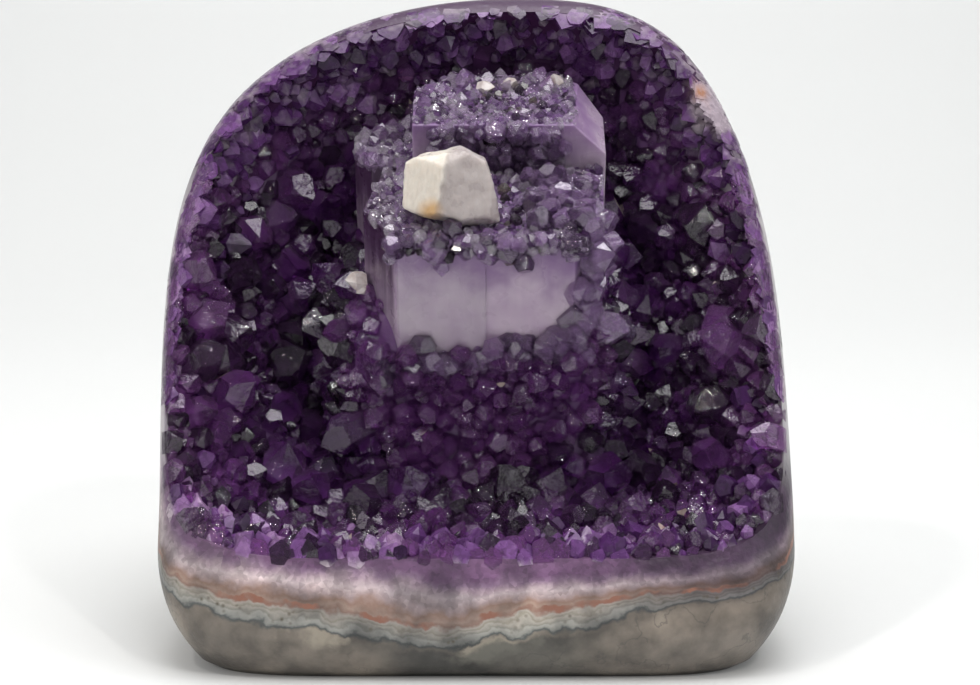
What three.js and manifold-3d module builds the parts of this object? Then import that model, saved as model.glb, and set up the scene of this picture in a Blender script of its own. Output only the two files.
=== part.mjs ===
// An amethyst geode on its cut base: a polished rock shell, the crust of amethyst that lines
// its hollow, a stand of pale prisms that rises out of the crust, and a small white calcite
// on the front prism. Millimetres, +Z up, the open face towards -Y, origin on the flat base.

import * as THREE from "three";
import { mergeVertices } from "three/addons/utils/BufferGeometryUtils.js";
import Module from "manifold-3d";

const wasm = await Module();
wasm.setup();

// The polished outside, as a stack of level slices
const HEIGHT = 168.9;
const HALF_WIDTH = 83.5;
const BASE_INSET = 12; // how much narrower each side is at the base
const FLARE_HEIGHT = 30; // where the sides reach their full width
const SHOULDER_Z = 40; // where the arch starts to draw in
const ARCH_POWER = 3.6;
const ARCH_ROOT = 2.4;
const CROWN_POWER = 12; // how late the front and back close over the top
const APEX_RIGHT = 15.5; // the arch's peak leans to the right
const APEX_POWER = 7;
const SHOULDER_LEFT = 3.6;
const LEAN = THREE.MathUtils.degToRad(27); // how far the open face leans back
const LIP_Y = -50; // the open face crosses this point above the base
const LIP_Z = 31;
const FOOT_Y = -50; // front of the flat base
const FOOT_FLARE = 6;
const FOOT_FLARE_HEIGHT = 16;
const LIP_ROUNDING = 5;
const BACK_Y = 44; // back of the flat base
const BACK_SWELL = 18;
const BACK_SWELL_SHARE = 1.15; // the swell's half wave over the height
const WAIST = 0.42; // where the widest line lies between front and back
const FRONT_POWER = 5.5; // squareness of a slice in front of the waist
const BACK_POWER = 2.6;

// The hollow, in the open face's own plane: across, up the face, and into the rock
const FACE_CENTRE_V = 72;
const FACE_TOP_V = 152;
const WALL_AT_RIM = 3;
const RIM_POWER = 6;
const RIM_TOP_POWER = 22; // squareness of the rim's upper half
const HOLLOW_DEPTH = 48;
const HOLLOW_POWER = 2.2;
const WALL_ROUNDING = 0.78; // steepness of the side walls: smaller is steeper
const WALL_ROUNDING_SWING = 0.24; // the floor is gentler and the roof steeper by this
const MOUND_HEIGHT = 40; // the swelling that the prisms grow from
const MOUND_HALF_WIDTH = 38;
const MOUND_POWER = 8; // how squarely the swelling drops at its sides
const MOUND_SPREAD = 21;
const MOUND_V = 66;

// The stand of prisms, in a frame that leans forward from the vertical
const PRISM_LEAN = THREE.MathUtils.degToRad(25);
const PRISM_ORIGIN = new THREE.Vector3(0, -30, 109.5); // on the front prism's near top edge
const PRISM_ROOT = 75; // how far down the prisms run, into the crust
const SHOULDER_PLACE = [26.5, 60, 12.5]; // where the rear prism's bevel starts
const SHOULDER_SLOPE = THREE.MathUtils.degToRad(45);

// The milky crystal on the front prism
const CALCITE_SIZE = new THREE.Vector3(25, 15, 21);
const CALCITE_PLACE = [-6.5, 11, 8.6]; // across, back, along the prisms' axis

// Clearances
const GAP = 0.3;
const CRUST_THICKNESS = 3.4;

// Mesh steps
const SLICE_SIDES = 44;
const SLICE_HEIGHTS = [0, 4, 9, 15, 22, 31, 45, 62, 80, 98, 114, 128, 140, 150, 158, 164, 167.4];
const BOWL_SIDES = 36;
const BOWL_RINGS = [0.16, 0.34, 0.5, 0.64, 0.76, 0.86, 0.94, 1];

// Axes of the open face's plane and of the prisms
const ACROSS = new THREE.Vector3(1, 0, 0);
const UP_FACE = new THREE.Vector3(0, Math.sin(LEAN), Math.cos(LEAN));
const INTO_ROCK = new THREE.Vector3(0, Math.cos(LEAN), -Math.sin(LEAN));
const LIP = new THREE.Vector3(0, LIP_Y, LIP_Z);
const PRISM_AXIS = new THREE.Vector3(0, -Math.sin(PRISM_LEAN), Math.cos(PRISM_LEAN));
const PRISM_BACK = new THREE.Vector3(0, Math.cos(PRISM_LEAN), Math.sin(PRISM_LEAN));

// Numbers between 0 and 1 that are the same on every run
function dice(seed) {
  let state = seed;
  return () => {
    state = (state + 0x6d2b79f5) | 0;
    let mixed = Math.imul(state ^ (state >>> 15), 1 | state);
    mixed = (mixed + Math.imul(mixed ^ (mixed >>> 7), 61 | mixed)) ^ mixed;
    return ((mixed ^ (mixed >>> 14)) >>> 0) / 4294967296;
  };
}

function between(roll, low, high) {
  return low + (high - low) * roll();
}

function signedPower(value, power) {
  return Math.sign(value) * Math.abs(value) ** power;
}

function softMax(a, b, width) {
  const overlap = Math.max(width - Math.abs(a - b), 0) / width;
  return Math.max(a, b) + (overlap * overlap * width) / 4;
}

// The size and place of the level slice at height z
function sliceAt(z) {
  const rise = THREE.MathUtils.clamp((z - SHOULDER_Z) / (HEIGHT - SHOULDER_Z), 0, 1);
  const arch = (1 - rise ** ARCH_POWER) ** (1 / ARCH_ROOT);
  const crown = (1 - rise ** CROWN_POWER) ** (1 / ARCH_ROOT);
  const low = 1 - Math.min(Math.max(z, 0) / FLARE_HEIGHT, 1);
  const half = HALF_WIDTH * arch - BASE_INSET * low * low;
  const footLow = 1 - Math.min(Math.max(z, 0) / FOOT_FLARE_HEIGHT, 1);
  const foot = FOOT_Y - FOOT_FLARE * (1 - footLow * footLow);
  const face = LIP_Y + (z - LIP_Z) * Math.tan(LEAN);
  const front = softMax(foot, face, LIP_ROUNDING);
  const swell = Math.sin((Math.PI * Math.max(z, 0)) / (BACK_SWELL_SHARE * HEIGHT));
  const back = BACK_Y + BACK_SWELL * swell;
  const waist = front + WAIST * (back - front);
  return {
    centre: APEX_RIGHT * rise ** APEX_POWER - SHOULDER_LEFT * rise,
    half,
    waist,
    ahead: (waist - front) * crown,
    behind: (back - waist) * crown,
  };
}

// Under 1 inside the outline of the slice at the point's height, over 1 outside it
function bodyLevel(point) {
  if (point.z >= HEIGHT) return 2;
  const { centre, half, waist, ahead, behind } = sliceAt(point.z);
  const depth = point.y < waist ? ahead : behind;
  const power = point.y < waist ? FRONT_POWER : BACK_POWER;
  const across = Math.abs(point.x - centre) / Math.max(half, 1e-6);
  const along = Math.abs(point.y - waist) / Math.max(depth, 1e-6);
  return across ** power + along ** power;
}

function bodyRing(z) {
  const { centre, half, waist, ahead, behind } = sliceAt(z);
  const ring = [];
  for (let i = 0; i < SLICE_SIDES; i += 1) {
    const turn = (2 * Math.PI * i) / SLICE_SIDES;
    const forward = Math.sin(turn) < 0;
    const power = 2 / (forward ? FRONT_POWER : BACK_POWER);
    const depth = forward ? ahead : behind;
    ring.push(
      new THREE.Vector3(
        centre + half * signedPower(Math.cos(turn), power),
        waist + depth * signedPower(Math.sin(turn), power),
        z,
      ),
    );
  }
  return ring;
}

// A closed skin over rings of points, with a point at each end
function skin(start, rings, end) {
  const sides = rings[0].length;
  const points = [start, ...rings.flat(), end];
  const last = points.length - 1;
  const index = [];
  for (let i = 0; i < sides; i += 1) {
    const next = (i + 1) % sides;
    index.push(0, 1 + next, 1 + i);
    for (let r = 0; r + 1 < rings.length; r += 1) {
      const here = 1 + r * sides;
      const above = here + sides;
      index.push(here + i, here + next, above + i, here + next, above + next, above + i);
    }
    index.push(last, last - sides + i, last - sides + next);
  }
  const geometry = new THREE.BufferGeometry().setFromPoints(points);
  geometry.setIndex(index);
  return geometry;
}

// A geometry as a solid, turned the right way out
function solidOf(geometry, matrix = new THREE.Matrix4()) {
  const bare = new THREE.BufferGeometry();
  bare.setAttribute("position", geometry.getAttribute("position").clone());
  if (geometry.index) bare.setIndex(geometry.index.clone());
  bare.applyMatrix4(matrix);
  const merged = mergeVertices(bare, 1e-4);
  const vertProperties = merged.attributes.position.array;
  const triVerts = new Uint32Array(merged.index.array);
  const made = new wasm.Manifold(new wasm.Mesh({ numProp: 3, vertProperties, triVerts }));
  if (made.volume() >= 0) return made;
  return new wasm.Manifold(
    new wasm.Mesh({ numProp: 3, vertProperties, triVerts: triVerts.reverse() }),
  );
}

// The largest piece of a solid, without chips or sealed bubbles
function wholeOf(solid) {
  return solid.decompose().reduce((best, one) => (one.volume() > best.volume() ? one : best));
}

function geometryOf(solid) {
  const mesh = solid.getMesh();
  const positions = new Float32Array(mesh.numVert * 3);
  for (let i = 0; i < mesh.numVert; i += 1) {
    const from = i * mesh.numProp;
    positions.set(mesh.vertProperties.subarray(from, from + 3), i * 3);
  }
  const geometry = new THREE.BufferGeometry();
  geometry.setAttribute("position", new THREE.BufferAttribute(positions, 3));
  geometry.setIndex(new THREE.BufferAttribute(new Uint32Array(mesh.triVerts), 1));
  return geometry.toNonIndexed();
}

function makeBody() {
  const base = new THREE.Vector3(0, 0, 0);
  const top = sliceAt(HEIGHT);
  const apex = new THREE.Vector3(top.centre, top.waist, HEIGHT);
  return solidOf(skin(base, SLICE_HEIGHTS.map(bodyRing), apex));
}

// A point from the face's own coordinates
function faceToPart(across, up, depth) {
  return LIP.clone()
    .addScaledVector(ACROSS, across)
    .addScaledVector(UP_FACE, up)
    .addScaledVector(INTO_ROCK, depth);
}

// The largest value at which a rising test still holds
function lastWhere(holds, low, high) {
  let inside = low;
  let outside = high;
  for (let i = 0; i < 40; i += 1) {
    const middle = (inside + outside) / 2;
    if (holds(middle)) inside = middle;
    else outside = middle;
  }
  return inside;
}

function insideRim(across, up) {
  const { centre, half } = sliceAt(LIP_Z + up * Math.cos(LEAN));
  const room = half - WALL_AT_RIM;
  if (room <= 0 || up >= FACE_TOP_V || up <= 0) return false;
  const reach = up > FACE_CENTRE_V ? FACE_TOP_V - FACE_CENTRE_V : FACE_CENTRE_V;
  const side = (Math.abs(across - centre) / room) ** RIM_POWER;
  const power = up > FACE_CENTRE_V ? RIM_TOP_POWER : RIM_POWER;
  const rise = (Math.abs(up - FACE_CENTRE_V) / reach) ** power;
  return side + rise < 1;
}

// Where the hollow's rim lies at a turn round the face's centre
function rimAt(turn) {
  const along = Math.cos(turn);
  const up = Math.sin(turn);
  const radius = lastWhere((r) => insideRim(r * along, FACE_CENTRE_V + r * up), 1, 140);
  const outside = (depth) =>
    bodyLevel(faceToPart(radius * along, FACE_CENTRE_V + radius * up, depth)) > 1;
  return { radius, depth: lastWhere(outside, -20, 30) };
}

// A point of the hollow's wall: share 0 is its centre and 1 its rim
function bowlPoint(turn, share, rim = rimAt(turn)) {
  const across = share * rim.radius * Math.cos(turn);
  const up = FACE_CENTRE_V + share * rim.radius * Math.sin(turn);
  const rounding = WALL_ROUNDING - WALL_ROUNDING_SWING * Math.sin(turn) * share;
  const sideways = Math.abs(across / MOUND_HALF_WIDTH) ** MOUND_POWER;
  const away = sideways + (up - MOUND_V) ** 2 / (2 * MOUND_SPREAD ** 2);
  const mound = MOUND_HEIGHT * Math.exp(-away) * (1 - share ** 4);
  const wall = HOLLOW_DEPTH * Math.max(1 - share ** HOLLOW_POWER, 0) ** rounding;
  return faceToPart(across, up, wall - mound + rim.depth * share ** 4);
}

// The direction off the wall, into the hollow
function bowlNormal(turn, share) {
  const at = THREE.MathUtils.clamp(share, 0.03, 0.985);
  const step = 0.012;
  const outward = bowlPoint(turn, at + step).sub(bowlPoint(turn, at - step));
  const round = bowlPoint(turn + step, at).sub(bowlPoint(turn - step, at));
  const normal = outward.cross(round).normalize();
  return normal.dot(INTO_ROCK) > 0 ? normal.negate() : normal;
}

// All the space in front of the hollow's wall, lifted off the wall by a clearance
function makeBowlFill(lift) {
  const rings = BOWL_RINGS.map((share) => {
    const ring = [];
    for (let i = 0; i < BOWL_SIDES; i += 1) {
      const turn = (2 * Math.PI * i) / BOWL_SIDES;
      ring.push(bowlPoint(turn, share).addScaledVector(bowlNormal(turn, share), lift));
    }
    return ring;
  });
  const ahead = INTO_ROCK.clone().multiplyScalar(-80);
  rings.push(rings.at(-1).map((point) => point.clone().add(ahead)));
  const centre = bowlPoint(0, 0).addScaledVector(INTO_ROCK, -lift);
  return solidOf(skin(centre, rings, centre.clone().add(ahead)));
}

// One quartz crystal's six-sided point, its foot sunk in what it grows from
function crystalAt(foot, direction, radius, height, spin) {
  const outline = [
    new THREE.Vector2(0, 0),
    new THREE.Vector2(radius, 0),
    new THREE.Vector2(0, height),
  ];
  const turn = new THREE.Quaternion().setFromUnitVectors(new THREE.Vector3(0, 1, 0), direction);
  turn.multiply(new THREE.Quaternion().setFromAxisAngle(new THREE.Vector3(0, 1, 0), spin));
  const matrix = new THREE.Matrix4().compose(foot, turn, new THREE.Vector3(1, 1, 1));
  return solidOf(new THREE.LatheGeometry(outline, 6), matrix);
}

function tilted(direction, roll, most) {
  const off = new THREE.Vector3(between(roll, -1, 1), between(roll, -1, 1), between(roll, -1, 1));
  return direction.clone().addScaledVector(off, most).normalize();
}

// Crystals all over the hollow's wall, no two feet closer than their spacing
function wallCrystals() {
  const roll = dice(11);
  const placed = [];
  const crystals = [];
  for (let i = 0; i < 4000; i += 1) {
    const turn = 2 * Math.PI * roll();
    const share = Math.sqrt(roll()) * 0.97;
    const radius = between(roll, 7.8, 10.2);
    const point = bowlPoint(turn, share);
    if (placed.some((one) => one.point.distanceTo(point) < (one.radius + radius) * 0.72)) {
      continue;
    }
    placed.push({ point, radius });
    const normal = bowlNormal(turn, share);
    const foot = point.clone().addScaledVector(normal, GAP + 1);
    const height = radius * between(roll, 1.05, 1.4);
    crystals.push(crystalAt(foot, tilted(normal, roll, 0.3), radius, height, roll() * Math.PI));
  }
  return crystals;
}

function joined(solids) {
  // Joining in pairs keeps every step small
  let layer = solids;
  while (layer.length > 1) {
    const next = [];
    for (let i = 0; i < layer.length; i += 2) {
      next.push(i + 1 < layer.length ? layer[i].add(layer[i + 1]) : layer[i]);
    }
    layer = next;
  }
  return layer[0];
}

// The prisms' own frame: across, back and along their shared axis
function prismMatrix(across = 0, back = 0, along = 0) {
  const place = PRISM_ORIGIN.clone()
    .addScaledVector(ACROSS, across)
    .addScaledVector(PRISM_BACK, back)
    .addScaledVector(PRISM_AXIS, along);
  return new THREE.Matrix4().makeBasis(ACROSS, PRISM_BACK, PRISM_AXIS).setPosition(place);
}

function middleOf(corners) {
  const sum = new THREE.Vector2();
  for (const [x, y] of corners) sum.add(new THREE.Vector2(x, y));
  return sum.divideScalar(corners.length);
}

// Each prism: the corners of its cross-section as [across, back], the height of its top and
// how much that top rises towards the back, as a slope
const PRISMS = {
  front: {
    corners: [
      [-20.5, 0],
      [25.5, 0],
      [33, 11],
      [34, 38],
      [-24, 38],
      [-29.5, 15],
    ],
    top: 0,
    slope: 0,
    crystals: 12,
    seed: 5,
  },
  rear: {
    corners: [
      [-17, 36],
      [34.5, 36],
      [34.5, 56],
      [22, 68],
      [-6, 68],
      [-17, 58],
    ],
    top: 12,
    slope: -0.07,
    crystals: 14,
    seed: 7,
  },
  left: {
    corners: [
      [-33, 44],
      [-28, 35],
      [-14, 35],
      [-14, 60],
      [-24, 62],
      [-32, 54],
    ],
    top: 0,
    slope: -0.1,
    crystals: 4,
    seed: 9,
  },
};

// A flat-topped prism, grown on every side by a clearance
function prismSolid({ corners, top, slope }, grow = 0) {
  const middle = middleOf(corners);
  const outline = new THREE.Shape(
    corners.map(([x, y]) => {
      const out = new THREE.Vector2(x - middle.x, y - middle.y);
      return out.setLength(out.length() + grow * 1.4).add(middle);
    }),
  );
  const length = PRISM_ROOT + top + 40;
  const shaft = new THREE.ExtrudeGeometry(outline, { depth: length, bevelEnabled: false });
  shaft.translate(0, 0, -PRISM_ROOT);
  const sky = new THREE.BoxGeometry(200, 200, 100);
  sky.translate(0, 0, 50);
  sky.rotateX(Math.atan(slope));
  return solidOf(shaft, prismMatrix()).subtract(
    solidOf(sky, prismMatrix(0, middle.y, top + grow)),
  );
}

// The sloping face that bevels the rear prism's right shoulder
function shoulderCut() {
  const block = new THREE.BoxGeometry(60, 120, 60);
  block.translate(30, 0, 0);
  block.rotateY(-SHOULDER_SLOPE);
  return solidOf(block, prismMatrix(...SHOULDER_PLACE));
}

// Small crystals that crowd a prism's top
function topCrystals({ corners, top, slope, crystals, seed }, grow = 0) {
  const roll = dice(seed);
  const middle = middleOf(corners);
  const made = [];
  for (let i = 0; i < crystals; i += 1) {
    // A point on the way from the middle to the outline
    const corner = corners[Math.floor(roll() * corners.length)];
    const next = corners[(corners.indexOf(corner) + 1) % corners.length];
    const along = roll();
    const edge = new THREE.Vector2(...corner).lerp(new THREE.Vector2(...next), along);
    const { x, y } = middle.clone().lerp(edge, Math.sqrt(roll()) * 0.82);
    const height = top + slope * (y - middle.y) - 1.2;
    const foot = new THREE.Vector3().applyMatrix4(prismMatrix(x, y, height));
    const radius = between(roll, 3.4, 5.2);
    const direction = tilted(PRISM_AXIS, roll, 0.35);
    const tall = radius * between(roll, 0.8, 1.1);
    made.push(crystalAt(foot, direction, radius + grow, tall + grow, roll() * Math.PI));
  }
  return made;
}

function prismStand(grow) {
  return joined([
    prismSolid(PRISMS.front, grow),
    prismSolid(PRISMS.rear, grow).subtract(shoulderCut()),
    prismSolid(PRISMS.left, grow),
    ...Object.values(PRISMS).flatMap((prism) => topCrystals(prism, grow)),
  ]);
}

// The milky crystal: a blunt block with worn, unequal faces
function calciteSolid(grow = 0) {
  const block = new THREE.DodecahedronGeometry(1, 0);
  block.rotateX(0.35);
  block.rotateZ(0.5);
  const half = CALCITE_SIZE.clone().multiplyScalar(0.5).addScalar(grow);
  block.scale(half.x, half.y, half.z);
  return solidOf(block, prismMatrix(...CALCITE_PLACE));
}

function namedMesh(name, solid, colour, roughness) {
  const material = new THREE.MeshStandardMaterial({ color: colour, roughness, metalness: 0 });
  const mesh = new THREE.Mesh(geometryOf(solid), material);
  mesh.name = name;
  return mesh;
}

const body = makeBody();
const rock = wholeOf(body.subtract(makeBowlFill(0)));
const room = makeBowlFill(GAP);

const calcite = calciteSolid();
const prisms = wholeOf(prismStand(0).intersect(room).subtract(calciteSolid(GAP)));

const lining = room.subtract(makeBowlFill(GAP + CRUST_THICKNESS));
const grown = joined([lining, ...wallCrystals()]).intersect(room).intersect(body);
const crust = wholeOf(grown.subtract(prismStand(GAP)));

const geode = new THREE.Group();
geode.add(namedMesh("rock_shell", rock, 0x8c8478, 0.35));
geode.add(namedMesh("amethyst_crust", crust, 0x3a1f66, 0.12));
geode.add(namedMesh("pale_prisms", prisms, 0xa890bd, 0.3));
geode.add(namedMesh("white_calcite", calcite, 0xe4ddd0, 0.35));

export default geode;
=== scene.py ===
"""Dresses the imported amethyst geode: banded rock, a crust of crystals, pale prisms and a calcite.

Shapes are worked out in millimetres in the part's own frame (+Z up, the open face towards -Y)
and handed to Blender in metres.
"""

from __future__ import annotations

import logging
import math
from collections.abc import Callable, Sequence
from dataclasses import dataclass, field
from enum import Enum
from typing import NamedTuple

import bpy
import numpy as np
from mathutils import Matrix, Vector, noise

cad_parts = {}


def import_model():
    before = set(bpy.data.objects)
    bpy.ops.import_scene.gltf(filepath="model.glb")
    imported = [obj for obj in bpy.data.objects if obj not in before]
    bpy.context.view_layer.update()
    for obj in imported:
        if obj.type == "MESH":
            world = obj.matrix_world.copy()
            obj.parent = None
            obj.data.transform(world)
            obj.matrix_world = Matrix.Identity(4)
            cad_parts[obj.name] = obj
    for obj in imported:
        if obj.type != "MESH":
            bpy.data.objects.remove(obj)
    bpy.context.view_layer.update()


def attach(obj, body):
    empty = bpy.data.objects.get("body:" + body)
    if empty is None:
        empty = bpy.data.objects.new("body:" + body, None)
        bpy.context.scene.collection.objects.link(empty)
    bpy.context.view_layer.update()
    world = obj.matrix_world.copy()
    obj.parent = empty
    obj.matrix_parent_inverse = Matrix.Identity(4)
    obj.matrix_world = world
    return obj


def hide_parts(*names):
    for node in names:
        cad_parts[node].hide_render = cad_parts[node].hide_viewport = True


LOG = logging.getLogger("geode")
MM = 0.001
ROOT_BODY = "root"

Colour = tuple[float, float, float]
Point = tuple[float, float, float]
Face = list[Point]
Band = tuple[float, float, float, float]

ORIGIN: Point = (0.0, 0.0, 0.0)
RIGHT: Point = (1.0, 0.0, 0.0)
UP: Point = (0.0, 0.0, 1.0)
WHITE: Colour = (1.0, 1.0, 1.0)


class Slot(Enum):
    """The record's material slots."""

    ROCK = "rock"
    AMETHYST = "amethyst"
    PALE = "pale_amethyst"
    CALCITE = "calcite"


class Habit(Enum):
    """How a quartz crystal has grown: how much shaft it shows, in radii."""

    POINT = (0.0, 0.35)
    STUB = (0.3, 0.9)
    TALL = (0.9, 1.6)


class Clarity(Enum):
    """How clear a crystal of the crust is: the index of its material."""

    CLEAR = 0
    FROSTED = 1
    MILKY = 2


class Slice(NamedTuple):
    """The outline of the rock at given heights."""

    centre: np.ndarray
    half: np.ndarray
    waist: np.ndarray
    ahead: np.ndarray
    behind: np.ndarray


def unit(vectors: np.ndarray) -> np.ndarray:
    """Scales each row to length one."""
    return vectors / np.maximum(np.linalg.norm(vectors, axis=-1, keepdims=True), 1e-9)


@dataclass(frozen=True)
class GeodeForm:
    """The rock's polished outside and the wall of its hollow, in millimetres."""

    height: float = 168.9
    half_width: float = 83.5
    base_inset: float = 12.0
    flare_height: float = 30.0
    shoulder_z: float = 40.0
    arch_power: float = 3.6
    arch_root: float = 2.4
    crown_power: float = 12.0
    apex_right: float = 15.5
    apex_power: float = 7.0
    shoulder_left: float = 3.6
    lean: float = math.radians(27)
    lip_y: float = -50.0
    lip_z: float = 31.0
    foot_y: float = -50.0
    foot_flare: float = 6.0
    foot_flare_height: float = 16.0
    lip_rounding: float = 5.0
    back_y: float = 44.0
    back_swell: float = 18.0
    back_swell_share: float = 1.15
    waist_share: float = 0.42
    front_power: float = 5.5
    back_power: float = 2.6
    face_centre: float = 72.0
    face_top: float = 153.9
    wall_at_rim: float = 2.5
    rim_power: float = 6.0
    rim_top_power: float = 22.0
    hollow_depth: float = 48.0
    hollow_power: float = 2.2
    wall_rounding: float = 0.78
    wall_rounding_swing: float = 0.24
    mound_height: float = 40.0
    mound_half_width: float = 38.0
    mound_power: float = 8.0
    mound_spread: float = 21.0
    mound_up: float = 66.0
    crown_thinning: float = 0.82
    crown_from: float = 92.0
    crown_to: float = 124.0

    def slices(self, z: np.ndarray) -> Slice:
        """Sizes and places the level slices.

        Args:
            z: Heights above the base.

        Returns:
            The slices at those heights.
        """
        rise = np.clip((z - self.shoulder_z) / (self.height - self.shoulder_z), 0, 1)
        arch = (1 - rise**self.arch_power) ** (1 / self.arch_root)
        crown = (1 - rise**self.crown_power) ** (1 / self.arch_root)
        low = 1 - np.clip(z / self.flare_height, 0, 1)
        foot_low = 1 - np.clip(z / self.foot_flare_height, 0, 1)
        foot = self.foot_y - self.foot_flare * (1 - foot_low**2)
        face = self.lip_y + (z - self.lip_z) * math.tan(self.lean)
        overlap = np.maximum(self.lip_rounding - np.abs(foot - face), 0) / self.lip_rounding
        front = np.maximum(foot, face) + overlap**2 * self.lip_rounding / 4
        swell = np.sin(np.pi * np.maximum(z, 0) / (self.back_swell_share * self.height))
        back = self.back_y + self.back_swell * swell
        waist = front + self.waist_share * (back - front)
        return Slice(
            centre=self.apex_right * rise**self.apex_power - self.shoulder_left * rise,
            half=self.half_width * arch - self.base_inset * low**2,
            waist=waist,
            ahead=(waist - front) * crown,
            behind=(back - waist) * crown,
        )

    def level(self, points: np.ndarray) -> np.ndarray:
        """How far out each point is: below 0 inside the rock's outline, above 0 outside."""
        cut = self.slices(points[..., 2])
        forward = points[..., 1] < cut.waist
        depth = np.maximum(np.where(forward, cut.ahead, cut.behind), 1e-3)
        power = np.where(forward, self.front_power, self.back_power)
        across = np.abs(points[..., 0] - cut.centre) / np.maximum(cut.half, 1e-3)
        along = np.abs(points[..., 1] - cut.waist) / depth
        return (across**power + along**power) ** (1 / power) - 1

    def nearest_skin(self, points: np.ndarray) -> tuple[np.ndarray, np.ndarray]:
        """Finds the outside of the rock next to some points.

        Args:
            points: Points near the rock's outside, one a row.

        Returns:
            Points on the outside, and the outward normals there.
        """
        step = 0.05
        skin = points.copy()
        slope = np.zeros_like(skin)
        for _ in range(5):
            here = self.level(skin)
            for axis in range(3):
                shift = np.zeros(3)
                shift[axis] = step
                slope[:, axis] = (self.level(skin + shift) - self.level(skin - shift)) / (2 * step)
            steep = np.maximum((slope**2).sum(axis=1), 1e-9)
            skin = skin - slope * np.clip(here / steep, -60, 60)[:, None]
        return skin, unit(slope)

    def ring(self, z: float, sides: int) -> np.ndarray:
        """The outline of the slice at one height, as a ring of points."""
        cut = self.slices(np.full(sides, z))
        turn = 2 * np.pi * np.arange(sides) / sides
        forward = np.sin(turn) < 0
        power = 2 / np.where(forward, self.front_power, self.back_power)
        depth = np.where(forward, cut.ahead, cut.behind)
        x = cut.centre + cut.half * np.sign(np.cos(turn)) * np.abs(np.cos(turn)) ** power
        y = cut.waist + depth * np.sign(np.sin(turn)) * np.abs(np.sin(turn)) ** power
        return np.stack([x, y, np.full(sides, z)], axis=1)

    def from_face(self, across: np.ndarray, up: np.ndarray, into: np.ndarray) -> np.ndarray:
        """Turns distances across, up and into the open face into points."""
        sin, cos = math.sin(self.lean), math.cos(self.lean)
        y = self.lip_y + up * sin + into * cos
        z = self.lip_z + up * cos - into * sin
        return np.stack([across, y, z], axis=-1)

    def to_face(self, points: np.ndarray) -> tuple[np.ndarray, np.ndarray, np.ndarray]:
        """Turns points into distances across, up and into the open face."""
        sin, cos = math.sin(self.lean), math.cos(self.lean)
        y = points[..., 1] - self.lip_y
        z = points[..., 2] - self.lip_z
        return points[..., 0], y * sin + z * cos, y * cos - z * sin

    def inside_rim(self, across: np.ndarray, up: np.ndarray) -> np.ndarray:
        """Tells which places on the open face lie inside the hollow's rim."""
        cut = self.slices(self.lip_z + up * math.cos(self.lean))
        room = np.maximum(cut.half - self.wall_at_rim, 1e-3)
        above = up > self.face_centre
        reach = np.where(above, self.face_top - self.face_centre, self.face_centre)
        power = np.where(above, self.rim_top_power, self.rim_power)
        side = (np.abs(across - cut.centre) / room) ** self.rim_power
        rise = (np.abs(up - self.face_centre) / reach) ** power
        return (side + rise < 1) & (up > 0) & (up < self.face_top)

    def rim(self, turns: np.ndarray) -> tuple[np.ndarray, np.ndarray]:
        """Finds the hollow's rim.

        Args:
            turns: Angles round the middle of the open face.

        Returns:
            The rim's distance from the middle, and how deep behind the open face it lies.
        """
        along, rise = np.cos(turns), np.sin(turns)
        low, high = np.full_like(turns, 1.0), np.full_like(turns, 140.0)
        for _ in range(36):
            middle = (low + high) / 2
            inside = self.inside_rim(middle * along, self.face_centre + middle * rise)
            low, high = np.where(inside, middle, low), np.where(inside, high, middle)
        shallow, deep = np.full_like(turns, -20.0), np.full_like(turns, 30.0)
        for _ in range(36):
            middle = (shallow + deep) / 2
            point = self.from_face(low * along, self.face_centre + low * rise, middle)
            outside = self.level(point) > 0
            shallow = np.where(outside, middle, shallow)
            deep = np.where(outside, deep, middle)
        return low, shallow

    def wall(self, turns: np.ndarray, shares: np.ndarray) -> np.ndarray:
        """Points of the hollow's wall: share 0 is its middle and 1 its rim."""
        radius, rim_into = self.rim(turns)
        across = shares * radius * np.cos(turns)
        up = self.face_centre + shares * radius * np.sin(turns)
        rounding = self.wall_rounding - self.wall_rounding_swing * np.sin(turns) * shares
        sideways = np.abs(across / self.mound_half_width) ** self.mound_power
        away = sideways + (up - self.mound_up) ** 2 / (2 * self.mound_spread**2)
        mound = self.mound_height * np.exp(-away) * (1 - shares**4)
        bowl = self.hollow_depth * np.maximum(1 - shares**self.hollow_power, 0) ** rounding
        return self.from_face(across, up, bowl - mound + rim_into * shares**4)

    def wall_normals(self, turns: np.ndarray, shares: np.ndarray) -> np.ndarray:
        """Directions off the hollow's wall into the open."""
        at = np.clip(shares, 0.03, 0.985)
        step = 0.012
        outward = self.wall(turns, at + step) - self.wall(turns, at - step)
        around = self.wall(turns + step, at) - self.wall(turns - step, at)
        normals = unit(np.cross(outward, around))
        inward = np.array([0, math.cos(self.lean), -math.sin(self.lean)])
        facing = np.sign(-(normals @ inward))
        return normals * facing[:, None]

    def rim_share(self, points: np.ndarray) -> np.ndarray:
        """How far from the middle of the open face each point is, 1 at the hollow's rim."""
        across, up, _ = self.to_face(points)
        rise = up - self.face_centre
        return np.hypot(across, rise) / self.rim(np.arctan2(rise, across))[0]

    def layer_depth(self, points: np.ndarray) -> np.ndarray:
        """How far behind the hollow's wall each point lies; the layers thicken at the crown."""
        across, up, into = self.to_face(points)
        rise = up - self.face_centre
        turns = np.arctan2(rise, across)
        radius, rim_into = self.rim(turns)
        share = np.hypot(across, rise) / radius
        near = np.minimum(share, 1)
        rounding = self.wall_rounding - self.wall_rounding_swing * np.sin(turns) * near
        deep = np.maximum(into - rim_into * near**4, 0) / self.hollow_depth
        reach = share**self.hollow_power + deep ** (1 / rounding)
        height = (points[..., 2] - self.crown_from) / (self.crown_to - self.crown_from)
        crown = 1 - self.crown_thinning * np.clip(height, 0, 1)
        return (reach ** (1 / self.hollow_power) - 1) * radius * crown


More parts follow.
